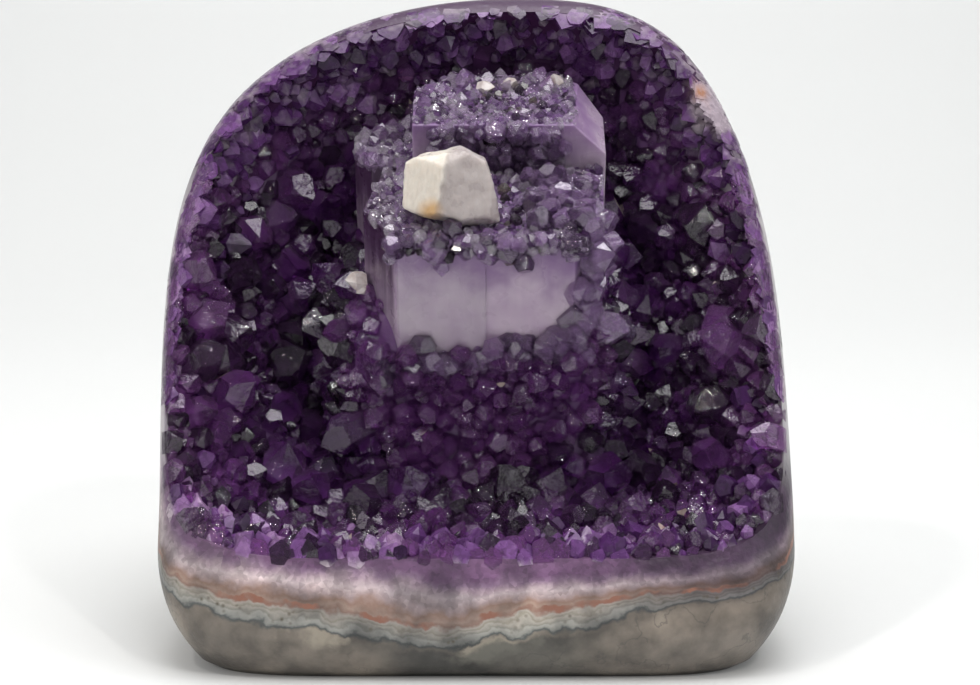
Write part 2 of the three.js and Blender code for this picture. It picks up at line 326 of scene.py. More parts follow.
@dataclass(frozen=True)
class PrismFrame:
    """The leaning frame that the prisms share: across, back and along their axis."""

    lean: float = math.radians(25)
    origin: Point = (0.0, -30.0, 109.5)

    @property
    def axis(self) -> np.ndarray:
        """The direction the prisms point in."""
        return np.array([0, -math.sin(self.lean), math.cos(self.lean)])

    @property
    def back(self) -> np.ndarray:
        """The direction square to the prisms' front faces, away from the viewer."""
        return np.array([0, math.cos(self.lean), math.sin(self.lean)])

    def place(self, across: float, back: float, along: float) -> np.ndarray:
        """The point at those distances from the frame's origin."""
        return np.array([across, 0, 0]) + self.origin + back * self.back + along * self.axis

    def locate(self, point: np.ndarray) -> tuple[float, float, float]:
        """A point of the part as across, back and along."""
        away = point - np.array(self.origin)
        return float(away[0]), float(away @ self.back), float(away @ self.axis)

    def turn(self, direction: Point) -> np.ndarray:
        """A direction given as across, back and along, in the part's frame."""
        return unit(
            np.array([direction[0], 0, 0]) + direction[1] * self.back + direction[2] * self.axis
        )


def cut_solid(faces: list[Face], normal: Sequence[float], offset: float) -> list[Face]:
    """Cuts off what lies beyond a plane.

    Args:
        faces: The faces of a closed convex solid.
        normal: The plane's normal, towards the side that goes.
        offset: The plane's distance along its normal.

    Returns:
        The faces of what stays, closed where it was cut.
    """
    nx, ny, nz = normal
    kept: list[Face] = []
    rim: dict[tuple[int, int, int], Point] = {}
    for face in faces:
        heights = [nx * x + ny * y + nz * z - offset for x, y, z in face]
        if max(heights) <= 1e-7:
            kept.append(face)
            continue
        piece: Face = []
        for i, here in enumerate(face):
            there, before, after = face[i - 1], heights[i - 1], heights[i]
            if (before > 0) != (after > 0):
                t = before / (before - after)
                point = tuple(a + (b - a) * t for a, b in zip(there, here))
                piece.append(point)
                rim[tuple(round(v * 1e4) for v in point)] = point
            if after <= 0:
                piece.append(here)
        if len(piece) > 2:
            kept.append(piece)
    if len(rim) > 2:
        kept.append(wound_round(list(rim.values()), normal))
    return kept


def wound_round(points: Face, normal: Sequence[float]) -> Face:
    """Puts the corners of a flat convex face in order, anticlockwise about its normal."""
    axis = Vector(normal).normalized()
    side = axis.orthogonal().normalized()
    other = axis.cross(side)
    middle = sum((Vector(p) for p in points), Vector()) / len(points)
    offsets = [(Vector(p) - middle, p) for p in points]
    return [p for _, p in sorted((math.atan2(v.dot(other), v.dot(side)), p) for v, p in offsets)]


def block(low: Point, high: Point) -> list[Face]:
    """The six faces of an upright block."""
    (x0, y0, z0), (x1, y1, z1) = low, high
    return [
        [(x0, y0, z0), (x0, y1, z0), (x1, y1, z0), (x1, y0, z0)],
        [(x0, y0, z1), (x1, y0, z1), (x1, y1, z1), (x0, y1, z1)],
        [(x0, y0, z0), (x1, y0, z0), (x1, y0, z1), (x0, y0, z1)],
        [(x0, y1, z0), (x0, y1, z1), (x1, y1, z1), (x1, y1, z0)],
        [(x0, y0, z0), (x0, y0, z1), (x0, y1, z1), (x0, y1, z0)],
        [(x1, y0, z0), (x1, y1, z0), (x1, y1, z1), (x1, y0, z1)],
    ]


@dataclass
class SolidBank:
    """Gathers closed solids and their per-point values into one mesh."""

    points: list[Point] = field(default_factory=list)
    faces: list[list[int]] = field(default_factory=list)
    finishes: list[int] = field(default_factory=list)
    values: dict[str, list[float]] = field(default_factory=dict)

    def add(
        self,
        faces: list[Face],
        values: dict[str, Callable[[Point], float]],
        finish: int = 0,
        odd_face: int | None = None,
    ) -> None:
        """Adds one solid, its shared corners welded.

        Args:
            faces: The solid's faces.
            values: For each named value, how it follows from a corner.
            finish: Index of the solid's material.
            odd_face: Index of a face that takes the next material instead.
        """
        index: dict[tuple[int, int, int], int] = {}
        for number, face in enumerate(faces):
            corners: list[int] = []
            for point in face:
                key = tuple(round(v * 2e3) for v in point)
                if key not in index:
                    index[key] = len(self.points)
                    self.points.append(point)
                    for name, of in values.items():
                        self.values.setdefault(name, []).append(of(point))
                if not corners or (corners[-1] != index[key] and corners[0] != index[key]):
                    corners.append(index[key])
            if len(corners) > 2:
                self.faces.append(corners)
                self.finishes.append(finish + (number == odd_face))

    def piece(self, name: str, materials: Sequence[bpy.types.Material]) -> bpy.types.Object:
        """Makes the gathered solids into one object, in metres."""
        scaled = (np.array(self.points) * MM).tolist()
        piece = mesh_object(name, scaled, self.faces, materials)
        piece.data.polygons.foreach_set("material_index", self.finishes)
        for value_name, values in self.values.items():
            layer = piece.data.attributes.new(value_name, "FLOAT", "POINT")
            layer.data.foreach_set("value", values)
        return piece


def mesh_object(
    name: str,
    points: Sequence[Sequence[float]],
    faces: Sequence[Sequence[int]],
    materials: Sequence[bpy.types.Material] = (),
) -> bpy.types.Object:
    """Makes a mesh object from points in metres and links it to the scene."""
    mesh = bpy.data.meshes.new(name)
    mesh.from_pydata(points, [], faces)
    mesh.update()
    made = bpy.data.objects.new(name, mesh)
    bpy.context.scene.collection.objects.link(made)
    for material in materials:
        mesh.materials.append(material)
    return made


def settle(piece: bpy.types.Object) -> None:
    """Turns an object's modifiers into its mesh."""
    graph = bpy.context.evaluated_depsgraph_get()
    mesh = bpy.data.meshes.new_from_object(piece.evaluated_get(graph))
    piece.modifiers.clear()
    old = piece.data
    piece.data = mesh
    bpy.data.meshes.remove(old)


def mesh_points(piece: bpy.types.Object) -> np.ndarray:
    """The mesh's points in millimetres, one a row."""
    flat = np.empty(len(piece.data.vertices) * 3)
    piece.data.vertices.foreach_get("co", flat)
    return flat.reshape(-1, 3) / MM


def keep_values(piece: bpy.types.Object, name: str, values: np.ndarray) -> None:
    """Stores one number for each of the mesh's points."""
    layer = piece.data.attributes.new(name, "FLOAT", "POINT")
    layer.data.foreach_set("value", values.astype(float))


def skin_faces(rings: int, sides: int) -> list[list[int]]:
    """Faces of a closed skin: a first point, rings of points, and a last point."""
    faces = []
    last = 1 + rings * sides
    for i in range(sides):
        j = (i + 1) % sides
        faces.append([0, 1 + j, 1 + i])
        faces.append([last, last - sides + i, last - sides + j])
        for r in range(rings - 1):
            here = 1 + r * sides
            faces.append([here + i, here + j, here + sides + j, here + sides + i])
    return faces


def wobble(points: np.ndarray, scale: float, seed: float) -> np.ndarray:
    """Smooth noise between about -1 and 1 at each point, with lumps of the given size."""
    shift = Vector((seed, 0, 0))
    return np.array([noise.noise(Vector(p) / scale + shift) for p in points.tolist()])


class NodePad:
    """Places and joins shader nodes in one node tree."""

    def __init__(self, tree: bpy.types.NodeTree) -> None:
        """Starts on an empty tree."""
        self.tree = tree
        tree.nodes.clear()

    def add(self, kind: str, **settings: object) -> bpy.types.Node:
        """Adds a node and sets its properties."""
        node = self.tree.nodes.new(kind)
        for name, value in settings.items():
            setattr(node, name, value)
        return node

    def feed(self, socket: bpy.types.NodeSocket, source: object) -> None:
        """Joins a socket to another, or sets it to a plain value."""
        if isinstance(source, bpy.types.NodeSocket):
            self.tree.links.new(source, socket)
        elif isinstance(source, tuple) and len(source) == 3 and socket.type == "RGBA":
            socket.default_value = (*source, 1.0)
        else:
            socket.default_value = source

    def maths(
        self, operation: str, first: object, second: object = 0.0, third: object = 0.0
    ) -> bpy.types.NodeSocket:
        """One step of arithmetic."""
        node = self.add("ShaderNodeMath", operation=operation)
        for socket, source in zip(node.inputs, (first, second, third)):
            self.feed(socket, source)
        return node.outputs[0]

    def times(self, first: object, second: object) -> bpy.types.NodeSocket:
        """Multiplies two numbers."""
        return self.maths("MULTIPLY", first, second)

    def mix(self, share: object, first: object, second: object) -> bpy.types.NodeSocket:
        """Goes from the first colour to the second as share goes from 0 to 1."""
        node = self.add("ShaderNodeMix", data_type="RGBA", clamp_factor=True)
        self.feed(node.inputs["Factor"], share)
        self.feed(node.inputs["A"], first)
        self.feed(node.inputs["B"], second)
        return node.outputs["Result"]

    def tint(self, first: object, second: object) -> bpy.types.NodeSocket:
        """Multiplies two colours."""
        node = self.add("ShaderNodeMix", data_type="RGBA", blend_type="MULTIPLY")
        node.inputs["Factor"].default_value = 1.0
        self.feed(node.inputs["A"], first)
        self.feed(node.inputs["B"], second)
        return node.outputs["Result"]

    def span(
        self, value: object, low: float, high: float, to_low: float = 0.0, to_high: float = 1.0
    ) -> bpy.types.NodeSocket:
        """Maps a range of a value to another range, held at its ends."""
        node = self.add("ShaderNodeMapRange", interpolation_type="SMOOTHSTEP")
        self.feed(node.inputs["Value"], value)
        for name, number in (
            ("From Min", low),
            ("From Max", high),
            ("To Min", to_low),
            ("To Max", to_high),
        ):
            node.inputs[name].default_value = number
        return node.outputs["Result"]

    def within(self, value: object, band: Band) -> bpy.types.NodeSocket:
        """1 inside a band, given as where it starts, is full, begins to end and is over."""
        starts, full, ending, over = band
        return self.times(self.span(value, starts, full), self.span(value, over, ending))

    def ramp(self, value: object, stops: Sequence[tuple[float, Colour]]) -> bpy.types.NodeSocket:
        """Colours along a value."""
        node = self.add("ShaderNodeValToRGB")
        elements = node.color_ramp.elements
        while len(elements) < len(stops):
            elements.new(1.0)
        for element, (position, colour) in zip(elements, stops):
            element.position = position
            element.color = (*colour, 1.0)
        self.feed(node.inputs["Fac"], value)
        return node.outputs["Color"]

    def value_of(self, name: str) -> bpy.types.NodeSocket:
        """A number stored on the mesh."""
        return self.add("ShaderNodeAttribute", attribute_name=name).outputs["Fac"]

    def place(self) -> bpy.types.NodeSocket:
        """The point's place on the part, in metres."""
        return self.add("ShaderNodeTexCoord").outputs["Object"]

    def reach(self, start: Point, way: Sequence[float]) -> bpy.types.NodeSocket:
        """How far the point lies from a start along a direction, in millimetres."""
        offset = self.add("ShaderNodeVectorMath", operation="SUBTRACT")
        self.feed(offset.inputs[0], self.place())
        offset.inputs[1].default_value = [value * MM for value in start]
        along = self.add("ShaderNodeVectorMath", operation="DOT_PRODUCT")
        self.feed(along.inputs[0], offset.outputs["Vector"])
        along.inputs[1].default_value = [value / MM for value in way]
        return along.outputs["Value"]

    def group(self, tree: bpy.types.NodeTree, **inputs: object) -> bpy.types.NodeSocket:
        """Places a shared group, its inputs named with spaces as underscores."""
        node = self.add("ShaderNodeGroup", node_tree=tree)
        for name, value in inputs.items():
            self.feed(node.inputs[name.replace("_", " ").capitalize()], value)
        return node.outputs[0]


def shared_group(
    name: str,
    inputs: dict[str, float],
    fill: Callable[[NodePad, bpy.types.Node], bpy.types.NodeSocket],
) -> bpy.types.NodeTree:
    """Builds a shader node group that makes one value out of numbers.

    Args:
        name: The group's name.
        inputs: The inputs' names and values.
        fill: Adds the nodes, given the group's input node, and returns what comes out.

    Returns:
        The group's node tree.
    """
    number = "NodeSocketFloat"
    tree = bpy.data.node_groups.new(name, "ShaderNodeTree")
    pad = NodePad(tree)
    for input_name, value in inputs.items():
        socket = tree.interface.new_socket(input_name, in_out="INPUT", socket_type=number)
        socket.default_value = value
    tree.interface.new_socket("Value", in_out="OUTPUT", socket_type=number)
    start = pad.add("NodeGroupInput")
    end = pad.add("NodeGroupOutput")
    pad.feed(end.inputs[0], fill(pad, start))
    return tree


@dataclass(frozen=True)
class Effects:
    """The shader effects that several of the stone's finishes share."""

    mottle: bpy.types.NodeTree
    streaks: bpy.types.NodeTree
    specks: bpy.types.NodeTree
    shards: bpy.types.NodeTree

    @classmethod
    def build(cls, lean: float) -> Effects:
        """Makes the groups.

        Args:
            lean: How far the prisms lean forward; streaks run along them.

        Returns:
            The built effects.
        """

        def clouds(pad: NodePad, start: bpy.types.Node) -> bpy.types.NodeSocket:
            """Soft noise, its contrast set by Low and High."""
            cloud = pad.add("ShaderNodeTexNoise")
            pad.feed(cloud.inputs["Vector"], pad.place())
            pad.feed(cloud.inputs["Scale"], start.outputs["Scale"])
            pad.feed(cloud.inputs["Detail"], start.outputs["Detail"])
            spread = pad.add("ShaderNodeMapRange")
            pad.feed(spread.inputs["Value"], cloud.outputs["Fac"])
            pad.feed(spread.inputs["From Min"], start.outputs["Low"])
            pad.feed(spread.inputs["From Max"], start.outputs["High"])
            return spread.outputs["Result"]

        def lines(pad: NodePad, start: bpy.types.Node) -> bpy.types.NodeSocket:
            """Noise drawn out along the prisms."""
            turned = pad.add("ShaderNodeMapping", vector_type="TEXTURE")
            pad.feed(turned.inputs["Vector"], pad.place())
            turned.inputs["Rotation"].default_value = (lean, 0.0, 0.0)
            squeezed = pad.add("ShaderNodeVectorMath", operation="MULTIPLY")
            pad.feed(squeezed.inputs[0], turned.outputs["Vector"])
            lengths = pad.add("ShaderNodeCombineXYZ")
            lengths.inputs["X"].default_value = 1.0
            lengths.inputs["Y"].default_value = 1.0
            pad.feed(lengths.inputs["Z"], start.outputs["Squeeze"])
            pad.feed(squeezed.inputs[1], lengths.outputs["Vector"])
            grain = pad.add("ShaderNodeTexNoise")
            pad.feed(grain.inputs["Vector"], squeezed.outputs["Vector"])
            pad.feed(grain.inputs["Scale"], start.outputs["Scale"])
            grain.inputs["Detail"].default_value = 5.0
            spread = pad.add("ShaderNodeMapRange")
            pad.feed(spread.inputs["Value"], grain.outputs["Fac"])
            spread.inputs["From Min"].default_value = 0.3
            spread.inputs["From Max"].default_value = 0.7
            return spread.outputs["Result"]

        def dots(pad: NodePad, start: bpy.types.Node) -> bpy.types.NodeSocket:
            """Small round spots, 1 at their middles."""
            cells = pad.add("ShaderNodeTexVoronoi")
            pad.feed(cells.inputs["Vector"], pad.place())
            pad.feed(cells.inputs["Scale"], start.outputs["Scale"])
            spread = pad.add("ShaderNodeMapRange")
            pad.feed(spread.inputs["Value"], cells.outputs["Distance"])
            pad.feed(spread.inputs["From Min"], start.outputs["Size"])
            spread.inputs["From Max"].default_value = 0.0
            return spread.outputs["Result"]

        def chips(pad: NodePad, start: bpy.types.Node) -> bpy.types.NodeSocket:
            """A plain value in each angular patch."""
            cells = pad.add("ShaderNodeTexVoronoi")
            pad.feed(cells.inputs["Vector"], pad.place())
            pad.feed(cells.inputs["Scale"], start.outputs["Scale"])
            return cells.outputs["Color"]

        return cls(
            mottle=shared_group(
                "mottle", {"Scale": 60.0, "Detail": 4.0, "Low": 0.35, "High": 0.65}, clouds
            ),
            streaks=shared_group("growth_streaks", {"Scale": 600.0, "Squeeze": 0.1}, lines),
            specks=shared_group("specks", {"Scale": 700.0, "Size": 0.3}, dots),
            shards=shared_group("shards", {"Scale": 200.0}, chips),
        )


def stone_shader(
    name: str, build: Callable[[NodePad, bpy.types.Node], None], **constants: object
) -> bpy.types.Material:
    """Makes a material round one Principled shader.

    Args:
        name: The material's name.
        build: Adds the nodes that feed the shader.
        **constants: Plain values for the shader's sockets, with underscores for spaces.

    Returns:
        The material.
    """
    material = bpy.data.materials.new(name)
    material.use_nodes = True
    pad = NodePad(material.node_tree)
    end = pad.add("ShaderNodeOutputMaterial")
    shader = pad.add("ShaderNodeBsdfPrincipled")
    pad.feed(end.inputs["Surface"], shader.outputs["BSDF"])
    for socket, value in constants.items():
        pad.feed(shader.inputs[socket.replace("_", " ")], value)
    build(pad, shader)
    return material


def raise_surface(
    pad: NodePad, shader: bpy.types.Node, height: object, distance: float, strength: float
) -> None:
    """Bumps a shader's surface by a height, over a distance in metres."""
    bump = pad.add("ShaderNodeBump")
    bump.inputs["Distance"].default_value = distance
    bump.inputs["Strength"].default_value = strength
    pad.feed(bump.inputs["Height"], height)
    pad.feed(shader.inputs["Normal"], bump.outputs["Normal"])


@dataclass(frozen=True)
class RockFinish:
    """Polished layers behind the hollow, and the rough natural skin at the back."""

    ramp_depth: float = 40.0
    stops: tuple[tuple[float, Colour], ...] = (
        (0.0, (0.14, 0.075, 0.16)),
        (2.4, (0.21, 0.145, 0.23)),
        (4.8, (0.36, 0.29, 0.35)),
        (7.6, (0.54, 0.48, 0.51)),
        (10.2, (0.38, 0.31, 0.32)),
        (12.0, (0.27, 0.18, 0.15)),
        (13.2, (0.33, 0.25, 0.215)),
        (14.2, (0.25, 0.165, 0.14)),
        (15.2, (0.38, 0.365, 0.34)),
        (16.0, (0.27, 0.26, 0.225)),
        (16.5, (0.38, 0.37, 0.345)),
        (17.5, (0.25, 0.255, 0.235)),
        (18.0, (0.36, 0.37, 0.355)),
        (18.9, (0.29, 0.305, 0.295)),
        (19.6, (0.08, 0.095, 0.10)),
        (20.6, (0.21, 0.19, 0.165)),
        (27.0, (0.24, 0.215, 0.185)),
        (40.0, (0.20, 0.185, 0.165)),
    )
    warp_broad: float = 5.4
    warp_fine: float = 3.0
    jag_reach: float = 4.5
    jag_depth: float = 9.0
    lilac_reach: float = 3.4
    lilac_middle: tuple[float, float] = (-28.0, 2.0)
    lilac_depths: tuple[float, float] = (5.0, 11.0)
    shade: tuple[Colour, Colour] = ((0.52, 0.52, 0.54), (1.24, 1.2, 1.16))
    grain: tuple[Colour, Colour] = ((0.60, 0.59, 0.58), (1.26, 1.23, 1.19))
    sugar: tuple[Colour, Colour] = ((0.72, 0.69, 0.72), (1.22, 1.2, 1.22))
    sugar_depths: tuple[float, float] = (12.0, 9.0)
    # Painted shade: the layers are darkened towards the right, less so deep in the basalt.
    painted_right_shade: Colour = (0.29, 0.27, 0.31)
    painted_shade_places: tuple[float, float] = (10.0, 62.0)
    painted_shade_depths: tuple[float, float] = (24.0, 16.0)
    painted_shade_least: float = 0.35
    red_patch: Colour = (0.26, 0.115, 0.08)
    red_band: Band = (12.8, 13.4, 14.6, 15.2)
    cream_patch: Colour = (0.34, 0.30, 0.24)
    cream_band: Band = (19.6, 20.6, 23.0, 26.0)
    basalt_depths: tuple[float, float] = (20.0, 22.0)
    # A dark green-grey patch in the basalt's middle, partly painted shade under the lip.
    dark_middle_and_shade: Colour = (0.44, 0.48, 0.51)
    middle_place: Point = (4.0, 0.0, 0.0)
    middle_reach: tuple[float, float] = (14.0, 36.0)
    crack: Colour = (0.07, 0.065, 0.06)
    crack_width: float = 0.011
    edge_depths: tuple[float, float] = (8.0, 13.0)
    margin_colour: Colour = (0.60, 0.57, 0.59)
    margin_heights: tuple[float, float] = (42.0, 60.0)
    margin_share: float = 0.75
    crown_colour: Colour = (0.045, 0.010, 0.052)
    crown_heights: tuple[float, float] = (108.0, 138.0)
    dot_colour: Colour = (0.08, 0.065, 0.04)
    agate_band: Band = (15.0, 16.2, 18.0, 19.4)
    natural: tuple[Colour, Colour] = ((0.17, 0.155, 0.135), (0.36, 0.33, 0.28))
    rust: tuple[Colour, Colour] = ((1.05, 1.05, 1.06), (0.92, 0.74, 0.58))
    natural_relief: float = 7.0
    roughness: tuple[float, float] = (0.4, 0.85)
    hollow_wall: Colour = (0.12, 0.045, 0.16)

    def material(self, effects: Effects) -> bpy.types.Material:
        """Builds the material."""

        def build(pad: NodePad, shader: bpy.types.Node) -> None:
            """Joins the polished stone, the natural skin and the hollow's wall."""
            depth = self.layer(pad, effects)
            polished = self.edged(pad, effects, depth, self.polished(pad, effects, depth))
            rough = pad.value_of("natural_skin")
            outside = pad.mix(rough, polished, self.skin(pad, effects))
            inside = pad.mix(pad.value_of("in_hollow"), outside, self.hollow_wall)
            pad.feed(shader.inputs["Base Color"], inside)
            pad.feed(shader.inputs["Roughness"], pad.span(rough, 0.0, 1.0, *self.roughness))
            pits = pad.group(effects.mottle, scale=520.0, detail=6.0, low=0.3, high=0.7)
            lumps = pad.group(effects.mottle, scale=130.0, detail=8.0, low=0.2, high=0.8)
            relief = pad.times(lumps, pad.span(rough, 0.0, 1.0, 0.0, self.natural_relief))
            raise_surface(pad, shader, pad.maths("ADD", pits, relief), 0.0003, 0.35)

        return stone_shader("banded_rock", build, Specular_IOR_Level=0.5)

    def layer(self, pad: NodePad, effects: Effects) -> bpy.types.NodeSocket:
        """The depth in the layers, bent by noise and jagged next to the hollow."""
        depth = own = pad.value_of("layer_depth")
        broad = pad.group(effects.mottle, scale=26.0, detail=2.0, low=0.25, high=0.75)
        fine = pad.group(effects.mottle, scale=170.0, detail=5.0, low=0.3, high=0.7)
        for noise_field, warp in ((broad, self.warp_broad), (fine, self.warp_fine)):
            depth = pad.maths("ADD", depth, pad.maths("MULTIPLY_ADD", noise_field, warp, -warp / 2))
        jags = pad.times(
            pad.group(effects.shards, scale=210.0),
            pad.span(own, 0.0, self.jag_depth, self.jag_reach, 0.0),
        )
        lower = pad.times(
            pad.span(pad.reach(ORIGIN, RIGHT), *self.lilac_middle, 0.0, self.lilac_reach),
            pad.span(own, *self.lilac_depths, 1.0, 0.0),
        )
        return pad.maths("SUBTRACT", pad.maths("SUBTRACT", depth, jags), lower)

    def polished(
        self, pad: NodePad, effects: Effects, depth: bpy.types.NodeSocket
    ) -> bpy.types.NodeSocket:
        """The layers' colours: clouded, with painted shade to the right, a dark middle that is
        partly painted shade, patches, lenses and cracks.
        """
        share = pad.maths("DIVIDE", depth, self.ramp_depth)
        bands = pad.ramp(share, [(at / self.ramp_depth, c) for at, c in self.stops])
        cloud = pad.group(effects.mottle, scale=110.0, detail=7.0, low=0.38, high=0.62)
        shade = pad.group(effects.mottle, scale=24.0, detail=3.0, low=0.34, high=0.66)
        # Painted shade: darkens the bands towards the right side.
        painted_shade_to_right = pad.times(
            pad.span(pad.reach(ORIGIN, RIGHT), *self.painted_shade_places),
            pad.span(depth, *self.painted_shade_depths, self.painted_shade_least, 1.0),
        )
        colour = pad.tint(
            pad.tint(bands, pad.mix(shade, *self.shade)),
            pad.tint(pad.mix(cloud, *self.grain), pad.mix(painted_shade_to_right, WHITE, self.painted_right_shade)),
        )
        sparkle = pad.mix(pad.group(effects.shards, scale=820.0), *self.sugar)
        colour = pad.tint(colour, pad.mix(pad.span(depth, *self.sugar_depths), WHITE, sparkle))
        patches = pad.group(effects.mottle, scale=88.0, detail=6.0, low=0.5, high=0.6)
        in_red = pad.within(depth, self.red_band)
        colour = pad.mix(pad.times(in_red, patches), colour, self.red_patch)
        lenses = pad.group(effects.mottle, scale=58.0, detail=6.0, low=0.54, high=0.62)
        in_lens = pad.within(depth, self.cream_band)
        colour = pad.mix(pad.times(in_lens, lenses), colour, self.cream_patch)
        in_basalt = pad.span(depth, *self.basalt_depths)
        # Darkens the basalt's middle: partly its own dark patch, partly painted shade under the
        # lip.
        off_middle = pad.maths("ABSOLUTE", pad.reach(self.middle_place, RIGHT))
        middle = pad.times(pad.span(off_middle, *self.middle_reach, 1.0, 0.0), in_basalt)
        colour = pad.tint(colour, pad.mix(middle, WHITE, self.dark_middle_and_shade))
        veins = pad.group(effects.mottle, scale=62.0, detail=7.0, low=0.0, high=1.0)
        off_vein = pad.maths("ABSOLUTE", pad.maths("SUBTRACT", veins, 0.5))
        where = pad.times(in_basalt, pad.span(shade, 0.2, 0.7, 0.0, 0.5))
        cracked = pad.times(pad.span(off_vein, 0.0, self.crack_width, 1.0, 0.0), where)
        return pad.mix(cracked, colour, self.crack)

    def edged(
        self,
        pad: NodePad,
        effects: Effects,
        depth: bpy.types.NodeSocket,
        colour: bpy.types.NodeSocket,
    ) -> bpy.types.NodeSocket:
        """Adds the pale margin beside the hollow, the purple crown and the agate's dark dots."""
        height = pad.reach(ORIGIN, UP)
        near_edge = pad.span(depth, *self.edge_depths, 1.0, 0.0)
        pale = pad.times(near_edge, pad.span(height, *self.margin_heights, 0.0, self.margin_share))
        colour = pad.mix(pale, colour, self.margin_colour)
        raised = pad.times(near_edge, pad.span(height, *self.crown_heights))
        colour = pad.mix(raised, colour, self.crown_colour)
        dots = pad.group(effects.specks, scale=520.0, size=0.36)
        patchy = pad.group(effects.mottle, scale=75.0, detail=1.0, low=0.42, high=0.54)
        dotted = pad.times(dots, pad.times(pad.within(depth, self.agate_band), patchy))
        return pad.mix(dotted, colour, self.dot_colour)

    def skin(self, pad: NodePad, effects: Effects) -> bpy.types.NodeSocket:
        """The natural skin's colour, weathered and rusty in places."""
        weathered = pad.group(effects.mottle, scale=230.0, detail=9.0, low=0.3, high=0.7)
        rusty = pad.group(effects.mottle, scale=34.0, detail=7.0, low=0.4, high=0.7)
        return pad.tint(pad.mix(weathered, *self.natural), pad.mix(rusty, *self.rust))


@dataclass(frozen=True)
class CrystalFinish:
    """Glassy quartz, coloured from the root to the tip."""

    name: str
    root: Colour
    tip: Colour
    # The colour towards the hollow's rim: partly colour zoning, partly painted light.
    rim: Colour
    dark_tone: Colour
    seat: Colour = (0.60, 0.50, 0.60)
    roughness: tuple[float, float] = (0.0, 0.07)
    transmission: float = 0.9
    ior: float = 1.544
    coat: float = 0.12
    absorption: Colour | None = None
    absorption_density: float = 0.0

    def material(self, effects: Effects) -> bpy.types.Material:
        """Builds the material."""

        def build(pad: NodePad, shader: bpy.types.Node) -> None:
            """Colours by height on the crystal, place in the hollow and the crystal's own tone; the
            brighter rim colour is partly zoning, partly painted light.
            """
            height = pad.value_of("tip_share")
            body = pad.mix(pad.span(height, 0.1, 0.75), self.root, self.tip)
            veils = pad.group(effects.mottle, scale=330.0, detail=3.0, low=0.35, high=0.7)
            # Brighter purple towards the rim: partly colour zoning, partly painted light.
            rim_lit = pad.mix(pad.times(pad.value_of("rim_share"), 0.85), body, self.rim)
            rooted = pad.mix(pad.span(pad.value_of("layer_depth"), -1.0, 4.0), rim_lit, self.seat)
            tone = pad.value_of("tone")
            toned = pad.mix(pad.span(tone, 0.3, 0.95, 0.0, 0.9), rooted, self.dark_tone)
            veiled = pad.mix(pad.times(veils, 0.22), toned, self.root)
            pad.feed(shader.inputs["Base Color"], veiled)
            grain = pad.group(effects.mottle, scale=800.0, detail=4.0, low=0.35, high=0.7)
            pad.feed(shader.inputs["Roughness"], pad.span(grain, 0.0, 1.0, *self.roughness))
            ripples = pad.maths("ADD", grain, pad.times(veils, 2.5))
            raise_surface(pad, shader, ripples, 0.00022, 0.3)
            if self.absorption:
                inside = pad.add("ShaderNodeVolumeAbsorption")
                inside.inputs["Color"].default_value = (*self.absorption, 1.0)
                inside.inputs["Density"].default_value = self.absorption_density
                end = next(n for n in pad.tree.nodes if n.type == "OUTPUT_MATERIAL")
                pad.feed(end.inputs["Volume"], inside.outputs["Volume"])

        return stone_shader(
            self.name,
            build,
            Transmission_Weight=self.transmission,
            IOR=self.ior,
            Coat_Weight=self.coat,
        )


@dataclass(frozen=True)
class MilkyFinish:
    """Cloudy quartz that is white at its root and purple towards its tip."""

    white: Colour = (0.50, 0.43, 0.48)
    stain: Colour = (0.50, 0.20, 0.06)
    tones: tuple[tuple[float, Colour], ...] = (
        (0.0, (0.42, 0.26, 0.46)),
        (0.3, (0.21, 0.09, 0.28)),
        (0.65, (0.095, 0.028, 0.14)),
        (1.0, (0.035, 0.012, 0.05)),
    )
    white_depth: float = 4.0
    sugar: tuple[Colour, Colour] = ((0.7, 0.66, 0.7), (1.25, 1.22, 1.25))

    def material(self, effects: Effects) -> bpy.types.Material:
        """Builds the material."""

        def build(pad: NodePad, shader: bpy.types.Node) -> None:
            """Colours by depth in the crust, with clouds."""
            clouds = pad.group(effects.mottle, scale=260.0, detail=5.0, low=0.3, high=0.7)
            mixed = pad.maths("MULTIPLY_ADD", clouds, 0.24, pad.value_of("tone"))
            body = pad.ramp(mixed, self.tones)
            depth = pad.maths("MULTIPLY_ADD", clouds, 2.4, pad.value_of("layer_depth"))
            rooted = pad.mix(pad.span(depth, 0.6, self.white_depth), body, self.white)
            sugar = pad.mix(pad.group(effects.shards, scale=900.0), *self.sugar)
            stained = pad.mix(pad.value_of("stain"), pad.tint(rooted, sugar), self.stain)
            pad.feed(shader.inputs["Base Color"], stained)
            pad.feed(shader.inputs["Roughness"], pad.span(clouds, 0.0, 1.0, 0.14, 0.4))
            raise_surface(pad, shader, clouds, 0.0003, 0.4)

        return stone_shader(
            "milky_amethyst",
            build,
            Transmission_Weight=0.25,
            IOR=1.544,
            Specular_IOR_Level=0.25,
        )


